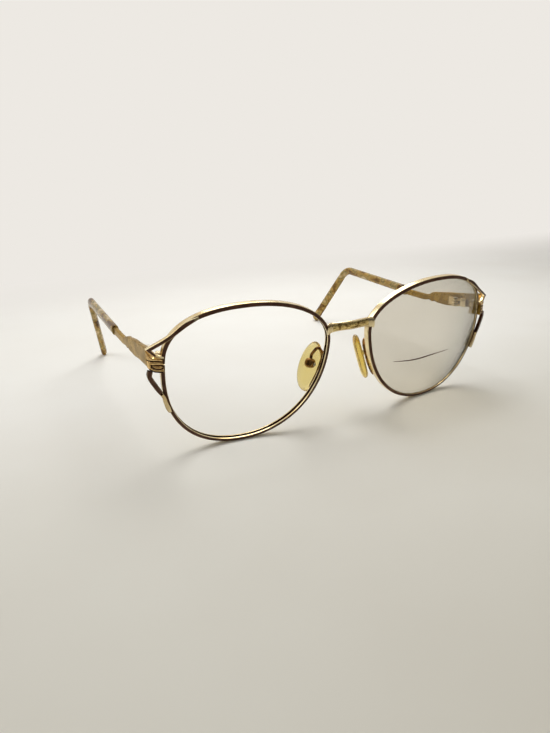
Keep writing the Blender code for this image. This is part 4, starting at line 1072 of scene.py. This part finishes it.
for side in ("left", "right"):
    for word, material, slot, radius in (
        ("upper_lock_barrel", GILT, "polished_gilt", 0.2), ("lower_lock_barrel", GILT, "polished_gilt", 0.2),
        ("lock_screw", NICKEL, "nickel_steel", 0.05),
        ("hinge_front_leaf", GILT, "polished_gilt", 0.08), ("hinge_temple_leaf", GILT, "polished_gilt", 0.08),
        ("hinge_screw", NICKEL, "nickel_steel", 0.05), ("pad_screw", NICKEL, "nickel_steel", 0.05),
    ):
        body = side + "_temple_unit" if word == "hinge_temple_leaf" else "front"
        name = f"{side}_{word}"
        dress(softened(name, radius), material, body, slot, name)


# Stage, lights and camera

def board_material():
    """Off-white painted board: matt where it lies, with painted shade darkening it towards the front, and plain
    pale to the eye where it stands.
    """
    made, tree, shader = new_material("off_white_board", roughness=0.6, shine=0.2)
    place = node(tree, "ShaderNodeTexCoord")
    mottle = node(tree, "ShaderNodeTexNoise", {"Scale": 14.0, "Detail": 3.0}, Vector=(place, "Object"))
    tone = colour_ramp(tree, (mottle, "Fac"), ((0.3, "F1EFE9"), (0.7, "F5F4EF")))
    # Painted shade: the floor's colour darkens towards its front edge
    place_y = node(tree, "ShaderNodeSeparateXYZ", None, Vector=(place, "Object"))
    fall = node(tree, "ShaderNodeMapRange", {"From Min": -0.19, "From Max": 0.0}, Value=(place_y, "Y"))
    grey = colour_ramp(tree, (fall, "Result"), ((0.0, "E9E7E0"), (0.55, "F3F2EE"), (1.0, "FFFFFF")))
    shaded = node(tree, "ShaderNodeMix", {"data_type": "RGBA", "blend_type": "MULTIPLY", 0: 1.0},
                  i6=(tone, "Color"), i7=(grey, "Color"))
    tree.links.new(shaded.outputs[2], shader.inputs["Base Color"])
    seen = node(tree, "ShaderNodeEmission", {"Color": linear("EDE9E3"), "Strength": 1.0})
    path = node(tree, "ShaderNodeLightPath")
    shown = node(tree, "ShaderNodeMath", {"operation": "MAXIMUM"}, i0=(path, "Is Camera Ray"),
                 i1=(path, "Is Transmission Ray"))
    eye = node(tree, "ShaderNodeMath", {"operation": "MAXIMUM"}, i0=(shown, "Value"),
               i1=(path, "Is Glossy Ray"))
    standing = node(tree, "ShaderNodeMapRange", {"interpolation_type": "SMOOTHSTEP", "From Min": 0.08,
                                                 "From Max": 0.34}, Value=(place_y, "Y"))
    share = node(tree, "ShaderNodeMath", {"operation": "MULTIPLY"}, i0=(eye, "Value"),
                 i1=(standing, "Result"))
    mixed = node(tree, "ShaderNodeMixShader", None, Fac=(share, "Value"), i1=(shader, "BSDF"),
                 i2=(seen, "Emission"))
    tree.links.new(mixed.outputs["Shader"], tree.nodes["Material Output"].inputs["Surface"])
    return made


def board():
    """Floor and backdrop in one sheet, with a wide cove between them."""
    start, radius, half_width = 0.45, 0.35, 1.8
    turns = [math.pi / 2 * k / 16 for k in range(1, 17)]
    profile = [(y, 0.0) for y in (-1.2, -0.6, -0.2, 0.0, 0.3, start)]
    profile += [(start + radius * math.sin(a), radius - radius * math.cos(a)) for a in turns]
    profile += [(0.8, 0.9), (0.8, 1.6)]
    deselect()
    bpy.ops.mesh.primitive_grid_add(x_subdivisions=2, y_subdivisions=len(profile) - 1, size=1.0)
    sheet = bpy.context.active_object
    sheet.name = "board"
    for index, vert in enumerate(sheet.data.vertices):
        row, column = divmod(index, 3)
        vert.co = ((column - 1) * half_width, *profile[row])
    smooth(sheet, 60)
    sheet.data.materials.append(board_material())
    return sheet


board()

# A plain room, lit evenly: brighter overhead and behind the part than low and in front
world = bpy.data.worlds.new("plain_studio")
bpy.context.scene.world = world
world.use_nodes = True
tree = world.node_tree
towards = node(tree, "ShaderNodeTexCoord")
axes = node(tree, "ShaderNodeSeparateXYZ", None, Vector=(towards, "Generated"))
sky = node(tree, "ShaderNodeMapRange", {"From Min": 0.05, "From Max": 0.8, "To Min": 0.12}, Value=(axes, "Z"))
room = node(tree, "ShaderNodeMapRange", {"From Min": -0.6, "From Max": 0.4, "To Min": 0.4}, Value=(axes, "Y"))
strength = node(tree, "ShaderNodeMath", {"operation": "MULTIPLY"}, i0=(sky, "Result"), i1=(room, "Result"))
tree.nodes["Background"].inputs["Color"].default_value = linear("F4F1EC")
tree.links.new(strength.outputs["Value"], tree.nodes["Background"].inputs["Strength"])


def soft_box(name, place, target, size, power):
    """A square soft lamp that hangs at a place and faces the target."""
    deselect()
    bpy.ops.object.light_add(type="AREA", location=place)
    lamp = bpy.context.active_object
    lamp.name = name
    lamp.rotation_euler = (Vector(target) - Vector(place)).to_track_quat("-Z", "Y").to_euler()
    lamp.data.shape = "RECTANGLE"
    lamp.data.size = lamp.data.size_y = size
    lamp.data.energy = power


soft_box("overhead", (0.08, 0.17, 0.34), (0.06, 0.04, 0.0), 0.26, 0.88)
soft_box("window_left", (-0.36, 0.14, 0.36), (0, 0, 0.02), 0.24, 0.42)

# The camera, fitted to the photograph: its place in mm, its focal length in pixels of a 733 pixel height
CAMERA_PLACE, FOCAL_PIXELS, PICTURE_HEIGHT, SENSOR_HEIGHT = (-101.06, -146.51, 83.87), 531.8, 733, 36.0
azimuth, roll = math.radians(-25.908), math.radians(-1.96)
back = Vector((-0.41233, -0.84889, 0.33070)).normalized()
level = Vector((math.cos(azimuth), math.sin(azimuth), 0))
upward = back.cross(level)
right = level * math.cos(roll) + upward * math.sin(roll)
up = upward * math.cos(roll) - level * math.sin(roll)
camera = bpy.data.objects.new("camera", bpy.data.cameras.new("camera"))
bpy.context.scene.collection.objects.link(camera)
turned_to = Matrix((right, up, back)).transposed().to_4x4()
camera.matrix_world = Matrix.Translation(in_metres(CAMERA_PLACE)) @ turned_to
camera.data.sensor_fit = "VERTICAL"
camera.data.sensor_height = SENSOR_HEIGHT
camera.data.lens = FOCAL_PIXELS / PICTURE_HEIGHT * SENSOR_HEIGHT
camera.data.clip_start, camera.data.clip_end = 0.005, 20.0
bpy.context.scene.camera = camera
bpy.context.scene.view_settings.view_transform = "Standard"

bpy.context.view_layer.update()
deselect()
